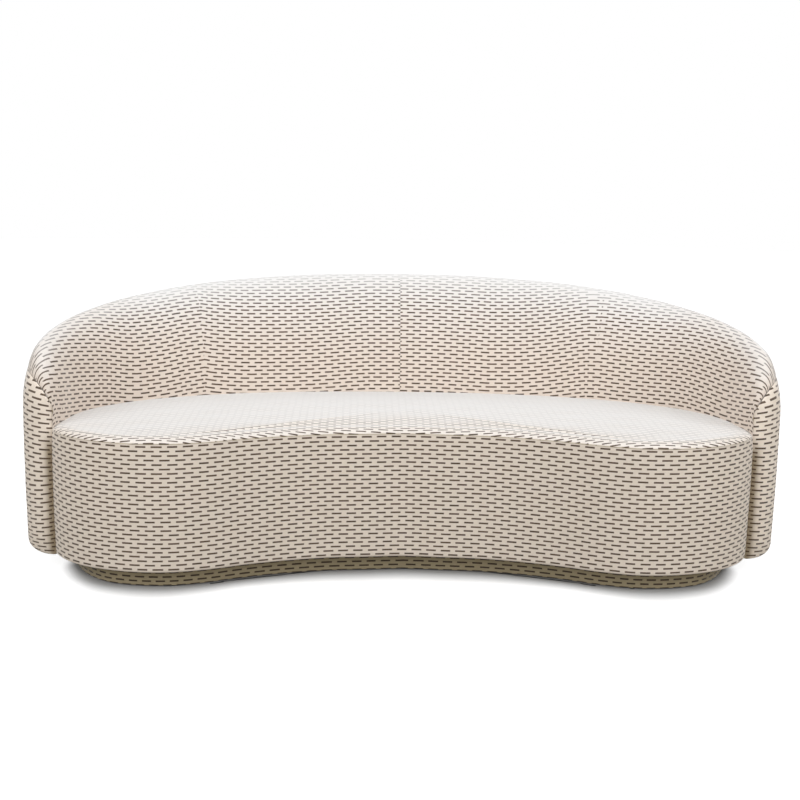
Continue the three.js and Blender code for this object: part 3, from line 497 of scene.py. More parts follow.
class Paint:
    """Builds the node tree of a material or the world."""

    def __init__(self, name, holders="materials"):
        self.holder = getattr(bpy.data, holders).new(name)
        self.holder.use_nodes = True
        self.tree = self.holder.node_tree
        self.tree.nodes.clear()

    def node(self, kind, inputs=None, **settings):
        made = self.tree.nodes.new(kind)
        for key, value in settings.items():
            setattr(made, key, value)
        for key, value in (inputs or {}).items():
            if isinstance(value, Signal):
                self.tree.links.new(value.socket, made.inputs[key])
            else:
                made.inputs[key].default_value = value
        return made

    def read(self, output, kind, inputs=None, **settings):
        """One output of a new node."""
        return Signal(self, self.node(kind, inputs, **settings).outputs[output])

    def maths(self, operation, *values):
        return self.read(0, "ShaderNodeMath", dict(enumerate(values)), operation=operation)

    def blend(self, share, first, second):
        """A colour between two colours."""
        return self.read(2, "ShaderNodeMix", {0: share, 6: first, 7: second}, data_type="RGBA")

    def noise(self, where, scale, detail, rough=0.55):
        """Soft patches, which three scales stretch along the axes."""
        if isinstance(scale, tuple):
            where = self.read(0, "ShaderNodeVectorMath", {0: where, 1: scale}, operation="MULTIPLY")
            scale = 1.0
        inputs = {"Vector": where, "Scale": scale, "Detail": detail, "Roughness": rough}
        return self.read("Fac", "ShaderNodeTexNoise", inputs)

    def pores(self, where, scale):
        """The distance from the nearest cell's middle."""
        return self.read("Distance", "ShaderNodeTexVoronoi", {"Vector": where, "Scale": scale})

    def flat_place(self):
        return self.read(0, "ShaderNodeUVMap", uv_map=UV_NAME)

    def object_place(self):
        return self.read("Object", "ShaderNodeTexCoord")

    def parts(self, vector):
        made = self.node("ShaderNodeSeparateXYZ", {0: vector})
        return [Signal(self, output) for output in made.outputs]

    def bump(self, height, distance, strength):
        inputs = {"Height": height, "Distance": distance, "Strength": strength}
        return self.read("Normal", "ShaderNodeBump", inputs)

    def surface(self, inputs):
        return self.read(0, "ShaderNodeBsdfPrincipled", inputs)

    def layered(self, share, first, second):
        """A shader between two shaders."""
        return self.read(0, "ShaderNodeMixShader", {0: share, 1: first, 2: second})

    def seen(self):
        """1 for the rays that show a surface, 0 for those that only carry its light."""
        rays = self.node("ShaderNodeLightPath").outputs
        kinds = ("Is Camera Ray", "Is Glossy Ray", "Is Transmission Ray")
        camera, glossy, through = (Signal(self, rays[kind]) for kind in kinds)
        return camera.most(glossy).most(through)

    def done(self, shader, kind="ShaderNodeOutputMaterial"):
        self.node(kind, {"Surface": shader})
        return self.holder

    def covered(self, colour, rough, normal, more=None):
        inputs = {"Base Color": colour, "Roughness": rough, "Normal": normal, **(more or {})}
        return self.done(self.surface(inputs))


# The cloth's drawing: how far rows and dashes wander and fray, the threads, and where painted crease shade
# and painted top light fall on it
ROW_WANDER = 0.10
DASH_WANDER = 0.12
ROW_OFFSET = 0.02
LENGTH_SPREAD = 0.12
FRAYED_LENGTH = 4 * MM
FRAYED_WIDTH = 1.2 * MM
SOFT_SIDE = 0.5 * MM
SOFT_END = 0.9 * MM
WARP_PITCH = 1.6 * MM
WEFT_PITCH = 2.1 * MM
FRAY_STRETCH = (380.0, 1500.0, 1.0)
THREAD_STRETCH = (130.0, 2100.0, 1.0)
DASH_COVER = 0.96
CLOTH_RELIEF = 0.6 * MM
PAINTED_CREASE_SHADE = 0.45
CREASE_SHADE = (0.24, 0.18, 0.10, 1)
SHOULDER = (0.78, 1.02)
CREASE_TOP = (0.36, 0.43)
NAP_FULL = 0.85


def dash_shares(paint, settings, u, v, uv):
    """Where the dashes are, how frayed they are, and a value of its own for each dash."""
    line = v / settings.row_pitch + (paint.noise(uv, 9.0, 2.0) - 0.5) * ROW_WANDER
    row = line.floor()
    shift = (row * 0.5).fract() + (row * 12.9898).wave() * ROW_OFFSET
    run = u / settings.dash_pitch + shift + (paint.noise(uv, 5.0, 1.0) - 0.5) * DASH_WANDER
    own = ((row * 3.17 + run.floor() * 7.31).wave() * 43.7585).fract()
    frayed = paint.noise(uv, FRAY_STRETCH, 3.0)
    length = settings.dash_length * (1 - LENGTH_SPREAD / 2 + own * LENGTH_SPREAD)
    length = length + (frayed - 0.5) * FRAYED_LENGTH
    across = (line.fract() - 0.5).size() * settings.row_pitch + (frayed - 0.5) * FRAYED_WIDTH
    along = (run.fract() - 0.5).size() * settings.dash_pitch
    side = across.step(settings.dash_width / 2 + SOFT_SIDE, settings.dash_width / 2 - SOFT_SIDE)
    end = (along - length / 2).step(SOFT_END, -SOFT_END)
    return side * end, frayed, own


def dash_cloth(name, settings, cover, painted_top_light=0.0, painted_top_highlight=0.0, crease=0.0, ink_share=1.0, sheen_and_top_light_share=1.0,
               nap_from=0.45):
    """Rows of short woven dashes, each set off by half a dash, on a cover's ground colours, which are
    lighter
    and darker copies of one cloth: painted light and painted shade.

    Where it faces up, painted top light pales its ground, and a painted top highlight lays a pale layer
    over the dashes too, less at the shoulders. The crease is how far painted shade reaches from its first
    edge. At a flat angle, from nap_from on, a pale layer hides it too: a painted sheen, strongest where it
    faces up.
    """
    paint = Paint(name)
    uv = paint.flat_place()
    u, v, _ = paint.parts(uv)
    dash, frayed, own = dash_shares(paint, settings, u, v, uv)
    warp = (u * (2 * math.pi / WARP_PITCH)).wave()
    weft = (v * (2 * math.pi / WEFT_PITCH)).wave()
    weave = warp * weft * 0.5 + 0.5
    threads = paint.noise(uv, THREAD_STRETCH, 2.0)
    patches = paint.noise(uv, 34.0, 4.0)
    warm, light = (getattr(settings, f"{cover}_{kind}") for kind in ("warm", "light"))
    ground = paint.blend((patches * 0.7 + threads * 0.55 - 0.25).step(0.0, 1.0), warm, light)
    inks = (settings.dash_dark, settings.dash_light)
    dark, pale = (tuple(c * ink_share for c in ink[:3]) + (1,) for ink in inks)
    ink = paint.blend((frayed * 0.75 + own * 0.35 - 0.1).step(0.0, 1.0), dark, pale)
    side, _, height = paint.parts(paint.object_place())
    if crease:
        # Painted shade in the crease beside the seat: the ground darkens near its first edge, up to the
        # crease top heights.
        painted_crease_shade = (1.0 - u.step(0.0, crease)) * PAINTED_CREASE_SHADE + (1.0 - u.step(crease * 0.25, crease * 0.6)) * PAINTED_CREASE_SHADE
        ground = paint.blend(painted_crease_shade * (1.0 - height.step(*CREASE_TOP)), ground, CREASE_SHADE)
    normal_z = paint.parts(paint.read("Normal", "ShaderNodeNewGeometry"))[2]
    middle = 1.0 - side.size().step(*SHOULDER) * 0.5
    # Painted top light: the ground pales towards the pale colour where it faces up, less at the shoulders.
    if painted_top_light:
        ground = paint.blend(normal_z.step(0.2, 0.7) * middle * painted_top_light, ground, settings.nap_and_top_light)
    colour = paint.blend(dash * DASH_COVER, ground, ink)
    relief = weave * 0.35 + threads * 0.4 + dash * (0.5 + 0.3 * weave) + patches * 0.3
    normal = paint.bump(relief, CLOTH_RELIEF, 0.75)
    rough = 0.86 + patches * 0.12 - dash * 0.08
    cloth = paint.surface({
        "Base Color": colour, "Roughness": rough, "Normal": normal, "Sheen Weight": 0.5,
        "Sheen Roughness": 0.35, "Sheen Tint": (1.0, 0.98, 0.95, 1), "Specular IOR Level": 0.25,
    })
    nap_and_top_light = paint.surface({
        "Base Color": settings.nap_and_top_light, "Roughness": 1.0, "Normal": normal, "Specular IOR Level": 0.1,
    })
    # The pale layer is a painted sheen at flat angles and painted top light, as it grows where the cloth
    # lies flat.
    facing = paint.read("Facing", "ShaderNodeLayerWeight", {"Blend": 0.5})
    lying = normal_z.step(0.45, 0.95)
    near = facing.step(nap_from, NAP_FULL) * lying * 0.62
    far = facing.step(0.55, 0.95) * normal_z.step(-0.1, 0.35) * 0.36
    painted_sheen_and_top_light = (near + far) * sheen_and_top_light_share
    # Painted top highlight: a pale layer over the dashes where it faces up, less at the shoulders.
    if painted_top_highlight:
        painted_sheen_and_top_light = painted_sheen_and_top_light.most(normal_z.step(0.5, 1.0) * middle * painted_top_highlight)
    return paint.done(paint.layered(painted_sheen_and_top_light, cloth, nap_and_top_light))


def board_material(name, light, dark, grain, ply_height=None):
    """Wood with long grain along X, and glued layers where it is plywood."""
    paint = Paint(name)
    place = paint.object_place()
    long = paint.noise(place, grain, 5.0, 0.6)
    fine = paint.noise(place, tuple(g * 6 for g in grain), 3.0)
    share = (long * 0.75 + fine * 0.25).step(0.3, 0.7)
    _, _, z = paint.parts(place)
    if ply_height:
        layer = (z / ply_height).fract().step(0.44, 0.56)
        share = share * 0.7 + layer * 0.3
    colour = paint.blend(share, light, dark)
    normal = paint.bump(long * 0.6 + fine * 0.4, 0.0004, 0.6)
    return paint.covered(colour, 0.55 + fine * 0.3, normal, {"Specular IOR Level": 0.35})


def fibre_material(name, light, dark, scale, depth):
    """Foam, wadding and other open, fluffy stuff."""
    paint = Paint(name)
    place = paint.object_place()
    pores = paint.pores(place, scale)
    cloud = paint.noise(place, scale / 9, 4.0)
    colour = paint.blend((pores * 0.5 + cloud * 0.6).step(0.1, 0.9), dark, light)
    normal = paint.bump(pores + cloud * 0.5, depth, 0.8)
    return paint.covered(colour, 0.85 + cloud * 0.14, normal, {"Specular IOR Level": 0.2})


def woven_material(name, light, dark, pitch, depth):
    """A close plain weave read from the place on the object."""
    paint = Paint(name)
    place = paint.object_place()
    x, y, z = paint.parts(place)
    turn = 2 * math.pi / pitch
    weave = ((x + z * 0.37) * turn).wave() * ((y + z) * turn).wave() * 0.5 + 0.5
    worn = paint.noise(place, 60.0, 4.0)
    colour = paint.blend((weave * 0.6 + worn * 0.5).step(0.1, 0.95), dark, light)
    normal = paint.bump(weave + worn * 0.4, depth, 0.8)
    more = {"Sheen Weight": 0.2, "Specular IOR Level": 0.25}
    return paint.covered(colour, 0.8 + worn * 0.18, normal, more)


def moulded_material(name, light, dark, rough):
    paint = Paint(name)
    place = paint.object_place()
    speck = paint.noise(place, 900.0, 2.0)
    scuff = paint.noise(place, (60.0, 240.0, 60.0), 5.0)
    colour = paint.blend((speck * 0.4 + scuff * 0.6).step(0.35, 0.75), dark, light)
    normal = paint.bump(speck, 0.0001, 0.5)
    return paint.covered(colour, rough + scuff * 0.2, normal)


def steel_material():
    """Zinc-plated sheet with faint crystal patches and fine scratches."""
    paint = Paint("zinc_steel")
    place = paint.object_place()
    spangle = paint.pores(place, 160.0)
    scratch = paint.noise(place, (90.0, 2600.0, 400.0), 3.0)
    colour = paint.blend(spangle.step(0.1, 0.8), (0.62, 0.63, 0.64, 1), (0.48, 0.49, 0.51, 1))
    normal = paint.bump(scratch * 0.6 + spangle * 0.2, 0.0001, 0.4)
    return paint.covered(colour, 0.28 + scratch * 0.22, normal, {"Metallic": 1.0})


# The materials of the frame's parts, by how their names begin. All other parts are plywood.
NODE_MATERIALS = {
    "bent_board": ("inner_", "outer_panel"),
    "upholstery_foam": ("seat_foam", "arm_foam", "back_foam"),
    "fibre_wadding": ("outside_wadding", "seat_front_wrap", "seat_rear_wrap"),
    "web_strap": ("seat_webbing",),
    "glide_nylon": ("front_glide", "rear_glide"),
    "zinc_steel": ("joining_plate", "base_plate_screw", "rail_plate_screw"),
    "dark_lining": ("dust_cover", "seat_rear_lining"),
    "dash_cloth": ("seat_front_band",),
    "seat_cloth": ("seat_top_cover",),
    "outside_cloth": ("outside_cover",),
    "rim_cloth": ("inside_",),
    "shaded_plinth_cloth": ("plinth_cover",),
}


def measure(name, description, value, least):
    """A setting in metres."""
    return FloatProperty(
        name=name, description=description, default=value, min=least, subtype="DISTANCE", unit="LENGTH",
    )


def tint(name, description, value):
    """A setting with a colour."""
    return FloatVectorProperty(
        name=name, description=description, default=value, size=4, min=0, max=1, subtype="COLOR",
    )


class SofaSettings(bpy.types.PropertyGroup):
    """Sizes of the cloth's pattern and of the covers' relief, and the cloth's colours."""

    row_pitch: measure("Row pitch", "Distance between two rows of dashes", 12.8 * MM, MM)
    dash_pitch: measure("Dash pitch", "Distance between two dashes of a row", 43.9 * MM, MM)
    dash_length: measure("Dash length", "Length of a dash", 29 * MM, MM)
    dash_width: measure("Dash width", "Width of a dash across its row", 5 * MM, 0.2 * MM)
    seam_depth: measure("Seam depth", "How far the covers sink at their seams", 3.5 * MM, 0)
    seam_reach: measure("Seam reach", "How far from a seam the covers are drawn in", 11 * MM, MM)
    stand_off: measure("Stand-off", "How far the covers stand proud of the solids", 2 * MM, 0)
    fullness: measure("Fullness", "How far the padding pushes the covers out", 4 * MM, 0)
    nose_fullness: measure("Nose fullness", "How far the arm fronts round out beside the seat", 11 * MM, 0)
    unevenness: measure("Unevenness", "Height of the slow waves in the covers", 0.9 * MM, 0)
    # The covers are one cloth: the inside grounds are a darker copy as painted shade, the outside grounds a
    # lighter copy as painted light. Each warm colour is its cover's warmer patches.
    seat_light: tint("Seat", "Ground of the seat's cloth", (0.81, 0.727, 0.645, 1))
    seat_warm: tint("Seat, warm", "Warmer patches of that ground", (0.75, 0.657, 0.562, 1))
    inside_light: tint("Inside", "Ground of the inside covers", (0.771, 0.683, 0.613, 1))
    inside_warm: tint("Inside, warm", "Warmer patches of that ground", (0.709, 0.615, 0.534, 1))
    outside_light: tint("Outside", "Ground of the outside covers", (0.875, 0.786, 0.697, 1))
    outside_warm: tint("Outside, warm", "Warmer patches of that ground", (0.815, 0.716, 0.613, 1))
    # The plinth's grounds are a much darker copy of the cloth: painted shade under the seat's overhang.
    plinth_light: tint("Plinth", "Ground of the plinth's cover", (0.35, 0.29, 0.19, 1))
    plinth_warm: tint("Plinth, warm", "Warmer patches of that ground", (0.29, 0.24, 0.15, 1))
    dash_dark: tint("Dash, dark", "Darkest yarn of the dashes", (0.050, 0.031, 0.018, 1))
    dash_light: tint("Dash, light", "Lightest yarn of the dashes", (0.130, 0.085, 0.056, 1))
    # The pale colour: raised fibres seen at a flat angle, and painted top light where the cloth faces up.
    nap_and_top_light: tint("Nap", "Raised fibres of worn or bleached cloth", (0.825, 0.822, 0.820, 1))


def cover_lift(grid, normal, angles, s, a, settings, seams, seed, rounded):
    """How far a cover stands off its section: s runs along the section, a from station to station.

    It is least full at the shoulders, where it is stretched.
    """
    whole = s[:, -1:]
    plump = 1 - SHOULDER_STRETCH * np.exp(-((angles[:, None] - SHOULDER_ANGLE) / SHOULDER_SPREAD) ** 2)
    lift = settings.fullness * np.sin(np.pi * np.clip(s / whole, 0, 1)) ** 0.8
    lift = lift * np.clip(whole / FULL_SECTION, 0, 1) * plump
    lift = lift + settings.unevenness * ripple(a, s, seed)
    if rounded:
        off_floor = np.clip((grid[:, :, 2] - UNDERSIDE) / NOSE_REACH, 0, 1)
        fronting = np.clip(-normal[:, :, 1], 0, 1) ** 3 * off_floor
        lift = lift + settings.nose_fullness * (1 - seam_dip(a, NOSE_REACH)) * fronting
    reach = settings.seam_reach
    edges = {"bottom": s, "top": whole - s, "start": a, "end": a[-1:] - a}
    runs = {"bottom": a, "top": a, "start": s, "end": s}
    dip = np.zeros_like(s)
    for i, (edge, depth) in enumerate(seams.items()):
        depths = gathers(runs[edge], seed + 17 * i)
        dip = np.maximum(dip, seam_dip(edges[edge], reach) * depths * depth)
        lift = lift * (1 - depth * (1 - np.clip(edges[edge] / (3 * reach), 0, 1) ** 0.5))
    return lift + settings.stand_off - settings.seam_depth * dip


def inside_uv(u, s, angles, drift):
    """Places on an inside cover's cloth, its rows off the level and its dashes pulled long."""
    pulled = 1 - NOSE_PULL * (1 - np.clip((angles - NOSE_PULL_FROM) / NOSE_PULL_OVER, 0, 1))
    drifted = np.interp(angles, [angle for angle, _ in drift], [off * MM for _, off in drift])
    slope = np.gradient(drifted) / np.maximum(np.gradient(u), 1e-6)
    run = np.cumsum(np.diff(u, prepend=0) * pulled)
    return run[:, None] + slope[:, None] * (s - ROW_MIDDLE), s - drifted[:, None] - ROW_START


def outside_uv(u, s, a, z, foot, word):
    """Places on an outside cover's cloth, measured up from the foot of the wall."""
    column = np.argmax(z <= foot + 1e-6, axis=1)
    v = foot + np.take_along_axis(s, column[:, None], 1) - s
    heights = [height * MM for height, _ in CLIMB[word]]
    climb = np.interp(v, heights, [slope for _, slope in CLIMB[word]]) * np.exp(-(a / CLIMB_FADE) ** 2)
    v = v - climb * CLIMB_REACH * (1 - np.exp(-a / CLIMB_REACH)) - BOXING_ROW
    return np.repeat(u[:, None], s.shape[1], axis=1), v


def shell_cover(name, stations, section, word, settings, seams, seed, drift=None):
    """A tight cover over a run of stations. The seams are how deep its edges are stitched."""
    grid = np.array([section(station) for station in stations])
    probe = (len(grid) // 2, grid.shape[1] // 3)
    normal = grid_normals(grid)
    normal = normal * np.sign(np.sum(normal[probe] * (grid[probe] - stations[probe[0]].heart())))
    s = path_lengths(grid, 1)
    a = path_lengths(grid, 0)
    angles = np.array([station.angle for station in stations])
    lift = cover_lift(grid, normal, angles, s, a, settings, seams, seed, drift is None)
    outer = grid + normal * lift[:, :, None]
    u = a[:, int(grid.shape[1] * U_COLUMN)]
    if drift is None:
        foot = np.array([[UNDERSIDE + station.radius] for station in stations])
        u, v = outside_uv(u, s, a, grid[:, :, 2], foot, word)
    else:
        u, v = inside_uv(u, s, angles, drift)
    mirror = np.array((SIDES[word], 1, 1))
    uv = np.stack([u, v + settings.row_pitch / 2], axis=2)
    return cloth_piece(name, outer * mirror, uv, normal[probe] * mirror)


class SOFA_OT_materials(bpy.types.Operator):
    """Makes every material and gives it to the frame's parts"""
    bl_idname = "sofa.materials"
    bl_label = "Materials"

    def execute(self, context):
        settings = context.scene.sofa
        # Every cover is one cloth: the outside gets painted crease shade, the inside and the seat painted
        # top light, and the plinth a darker ground and ink as painted shade.
        dash_cloth("dash_cloth", settings, "seat")
        dash_cloth("outside_cloth", settings, "outside", crease=42 * MM)
        dash_cloth("rim_cloth", settings, "inside", painted_top_light=0.62, painted_top_highlight=0.75)
        dash_cloth("seat_cloth", settings, "seat", painted_top_light=0.4, sheen_and_top_light_share=0.95, nap_from=0.65)
        # The plinth: a dark ground and darker dashes through ink_share, painted shade under the seat's
        # overhang.
        dash_cloth("shaded_plinth_cloth", settings, "plinth", ink_share=0.4)
        board_material("plywood", (0.66, 0.47, 0.28, 1), (0.42, 0.27, 0.14, 1), (4.0, 60.0, 60.0), 2.6 * MM)
        board_material("bent_board", (0.50, 0.36, 0.22, 1), (0.30, 0.20, 0.12, 1), (90.0, 90.0, 110.0))
        fibre_material("upholstery_foam", (0.86, 0.76, 0.42, 1), (0.70, 0.58, 0.28, 1), 700.0, 0.0005)
        fibre_material("fibre_wadding", (0.90, 0.89, 0.86, 1), (0.74, 0.73, 0.70, 1), 260.0, 0.0012)
        woven_material("web_strap", (0.24, 0.16, 0.10, 1), (0.10, 0.06, 0.04, 1), 0.003, 0.0005)
        woven_material("dark_lining", (0.055, 0.052, 0.050, 1), (0.025, 0.024, 0.023, 1), 0.0022, 0.0002)
        moulded_material("glide_nylon", (0.035, 0.035, 0.037, 1), (0.018, 0.018, 0.019, 1), 0.4)
        steel_material()
        for name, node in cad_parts.items():
            material = next((m for m, stems in NODE_MATERIALS.items() if name.startswith(stems)), "plywood")
            node.data.materials.clear()
            node.data.materials.append(bpy.data.materials[material])
        return {"FINISHED"}


class SOFA_OT_inside(bpy.types.Operator):
    """Covers the inner faces and the ridge: two arms and the two halves of the back"""
    bl_idname = "sofa.inside"
    bl_label = "Inside covers"

    def execute(self, context):
        settings = context.scene.sofa
        runs = {
            "arm": (nose_stations() + arc_stations(0, SPLIT_ANGLE, ARM_STEP), ARM_SEAMS, 31),
            "back": (arc_stations(SPLIT_ANGLE, 90, BACK_STEP), BACK_SEAMS, 41),
        }
        for i, word in enumerate(SIDES):
            for run, (stations, seams, seed) in runs.items():
                piece = shell_cover(
                    f"inside_{run}_{word}", stations, inside_section, word, settings, seams, seed + i,
                    DRIFT[f"{run}_{word}"],
                )
                finish_piece(piece, "rim_cloth", [f"inside_{run}_cover_{word}"])
        return {"FINISHED"}


class SOFA_OT_outside(bpy.types.Operator):
    """Covers the outer wall from the seam down and round the bottom corner"""
    bl_idname = "sofa.outside"
    bl_label = "Outside covers"

    def execute(self, context):
        settings = context.scene.sofa
        stations = nose_stations() + arc_stations(0, 90, ARM_STEP)
        for i, word in enumerate(SIDES):
            name = f"outside_{word}"
            piece = shell_cover(name, stations, outside_section, word, settings, OUTSIDE_SEAMS, 51 + i)
            finish_piece(piece, "outside_cloth", [f"outside_cover_{word}"])
        return {"FINISHED"}


class SOFA_OT_seat_top(bpy.types.Operator):
    """Lays the crowned seat cover, one rolled edge all round"""
    bl_idname = "sofa.seat_top"
    bl_label = "Seat top"

    def execute(self, context):
        settings = context.scene.sofa
        rings = []
        heights = []
        for i in range(ROLL_RINGS + 1):
            inset = EDGE_ROLL * (1 - math.cos(i / ROLL_RINGS * math.pi / 2))
            rings.append(OUTLINE - OUTLINE_NORMALS * inset)
            heights.append(rolled_height(inset))
        edge = rings[-1]
        for i in range(1, TOP_RINGS):
            share = 1 - i / (TOP_RINGS + 0.5)
            rings.append(SEAT_CENTRE + (edge - SEAT_CENTRE) * share)
            heights.append(SEAM_HEIGHT + EDGE_RISE + CROWN * (1 - share ** 2))
        grid = raised(np.stack(rings, axis=1), heights)
        distance = path_lengths(grid, 1)
        run = np.repeat(OUTLINE_LENGTH[:, None], grid.shape[1], axis=1)
        soft = ripple(grid[:, :, 0], grid[:, :, 1], 5) * settings.unevenness
        soft = soft * np.clip(distance / SEAT_CALM, 0, 1)
        dip = seam_dip(distance, settings.seam_reach) * gathers(run, 8, SEAT_GATHERS)
        grid[:, :, 2] += soft + settings.stand_off * 0.5
        outwards = settings.stand_off * np.clip(1 - distance / EDGE_ROLL, 0, 1)
        outwards = outwards - dip * settings.seam_depth * SEAT_SEAM
        grid[:, :, :2] += OUTLINE_NORMALS[:, None] * outwards[:, :, None]
        flat = grid[:, :, :2].copy()
        rolled = distance[:, ROLL_RINGS, None] - distance[:, :ROLL_RINGS + 1]
        rolled = OUTLINE_NORMALS[:, None] * rolled[:, :, None]
        flat[:, :ROLL_RINGS + 1] = grid[:, ROLL_RINGS, None, :2] + rolled
        piece = cloth_piece("seat_top", closed_cap(grid), closed_cap(flat), (0, 0, 1))
        finish_piece(piece, "seat_cloth", ["seat_top_cover"])
        return {"FINISHED"}


def run_picks(rear):
    """Points of the outline in the run in front of the arm fronts, or behind them."""
    half = len(OUTLINE) // 2
    split = int(np.argmin(np.abs(OUTLINE_ANGLES[:half + 1] - BAND_SPLIT_ANGLE)))
    if rear:
        return list(range(split, len(OUTLINE) - split + 1))
    return [i % len(OUTLINE) for i in range(-split, split + 1)]


def band_piece(name, rear, settings, seed):
    """The standing side of the seat block, turned under the bottom board."""
    picks = run_picks(rear)
    top = SEAM_HEIGHT - FIT
    heights = [mix(top, UNDERSIDE + BAND_RADIUS, i / BAND_STEPS) for i in range(BAND_STEPS + 1)]
    insets = [0.0] * len(heights)
    for i in range(1, BAND_EDGE_STEPS + 1):
        angle = i / BAND_EDGE_STEPS * math.pi / 2
        heights.append(UNDERSIDE + BAND_RADIUS * (1 - math.sin(angle)))
        insets.append(BAND_RADIUS * (1 - math.cos(angle)))
    for i in range(1, BAND_EDGE_STEPS):
        heights.append(UNDERSIDE)
        insets.append(BAND_RADIUS + i * BAND_TURN)
    grid = standing_grid(picks, insets, heights)
    distance = path_lengths(grid, 1)
    along = path_lengths(grid, 0)
    tall = top - UNDERSIDE
    lift = settings.fullness * BAND_FULLNESS * np.sin(np.pi * np.clip(distance / tall, 0, 1)) ** 0.7
    calm = np.clip((tall - distance) / BAND_CALM, 0, 1)
    lift = lift + ripple(along, distance, seed) * settings.unevenness * calm
    dip = seam_dip(distance, settings.seam_reach) * gathers(along, seed + 3)
    lift = lift * np.clip(distance / (3 * settings.seam_reach), 0, 1) ** 0.5
    lift = lift + settings.stand_off - dip * settings.seam_depth * SEAT_SEAM
    grid[:, :, :2] += OUTLINE_NORMALS[picks][:, None] * lift[:, :, None]
    run = np.unwrap(OUTLINE_LENGTH[picks] * (2 * math.pi / OUTLINE_WHOLE)) * OUTLINE_WHOLE / (2 * math.pi)
    u = np.repeat(run[:, None], grid.shape[1], axis=1)
    v = top - distance - BOXING_ROW + settings.row_pitch / 2
    facing = (*OUTLINE_NORMALS[picks[len(picks) // 2]], 0)
    return cloth_piece(name, grid, np.stack([u, v], axis=2), facing)


class SOFA_OT_seat_side(bpy.types.Operator):
    """Stands the boxing round the seat block and the lining behind it"""
    bl_idname = "sofa.seat_side"
    bl_label = "Seat side"

    def execute(self, context):
        settings = context.scene.sofa
        piece = band_piece("seat_boxing", False, settings, 61)
        finish_piece(piece, "dash_cloth", ["seat_front_band"])
        piece = band_piece("rear_lining", True, settings, 67)
        finish_piece(piece, "dark_lining", ["seat_rear_lining"])
        return {"FINISHED"}


def plinth_insets():
    sideways = smooth(*PLINTH_NARROWING, np.abs(OUTLINE[:, 0]) / SEAT_HALF_WIDTH)
    rearward = smooth(SIDE_LINE, SIDE_LINE + NOSE_LENGTH, OUTLINE[:, 1])
    return mix(PLINTH_FRONT, PLINTH_SIDE, np.maximum(sideways, rearward))


class SOFA_OT_plinth(bpy.types.Operator):
    """Wraps the plinth and hangs the dust sheet inside it"""
    bl_idname = "sofa.plinth"
    bl_label = "Plinth"

    def execute(self, context):
        settings = context.scene.sofa
        steps = range(PLINTH_STEPS + 1)
        heights = np.array([mix(UNDERSIDE + CLOTH, GLIDE_HEIGHT - FIT, i / PLINTH_STEPS) for i in steps])
        insets = plinth_insets()
        grid = standing_grid(range(len(OUTLINE)), insets[:, None], heights)
        along = np.repeat(OUTLINE_LENGTH[:, None], len(steps), axis=1)
        down = path_lengths(grid, 1)
        lift = PLINTH_FULLNESS * np.sin(np.pi * down / down.max()) + PLINTH_RIPPLE * ripple(along, down, 71)
        lift = lift - seam_dip(np.abs(grid[:, :, 0]), PLINTH_SEAM_REACH) * PLINTH_SEAM
        grid[:, :, :2] += OUTLINE_NORMALS[:, None] * lift[:, :, None]
        v = np.broadcast_to(heights - PLINTH_ROW, along.shape)
        uv = closed_rows(np.stack([along, v], axis=2))
        uv[-1, :, 0] = OUTLINE_WHOLE
        facing = (*OUTLINE_NORMALS[len(OUTLINE) // 2], 0)
        piece = cloth_piece("plinth_wrap", closed_rows(grid), uv, facing)
        finish_piece(piece, "shaded_plinth_cloth", ["plinth_cover"])
        self.dust_sheet(insets + CLOTH + FIT + PLINTH_BOARD + FIT)
        return {"FINISHED"}

    def dust_sheet(self, insets):
        edge = OUTLINE - OUTLINE_NORMALS * insets[:, None]
        shares = np.array([1 - i / (DUST_RINGS - 0.5) for i in range(DUST_RINGS)])
        plan = SEAT_CENTRE + (edge - SEAT_CENTRE)[:, None] * shares[:, None]
        sag = 1 - shares ** 2
        puckers = DUST_PUCKER * pucker(np.repeat(OUTLINE_LENGTH[:, None] / 3, len(shares), axis=1), 3)
        cap = closed_cap(raised(plan, UNDERSIDE + CLOTH - DUST_SAG * sag - puckers * (1 - sag)))
        piece = cloth_piece("dust_sheet", cap, cap[:, :, :2], (0, 0, -1), DUST_SHEET)
        finish_piece(piece, "dark_lining", ["dust_cover"])


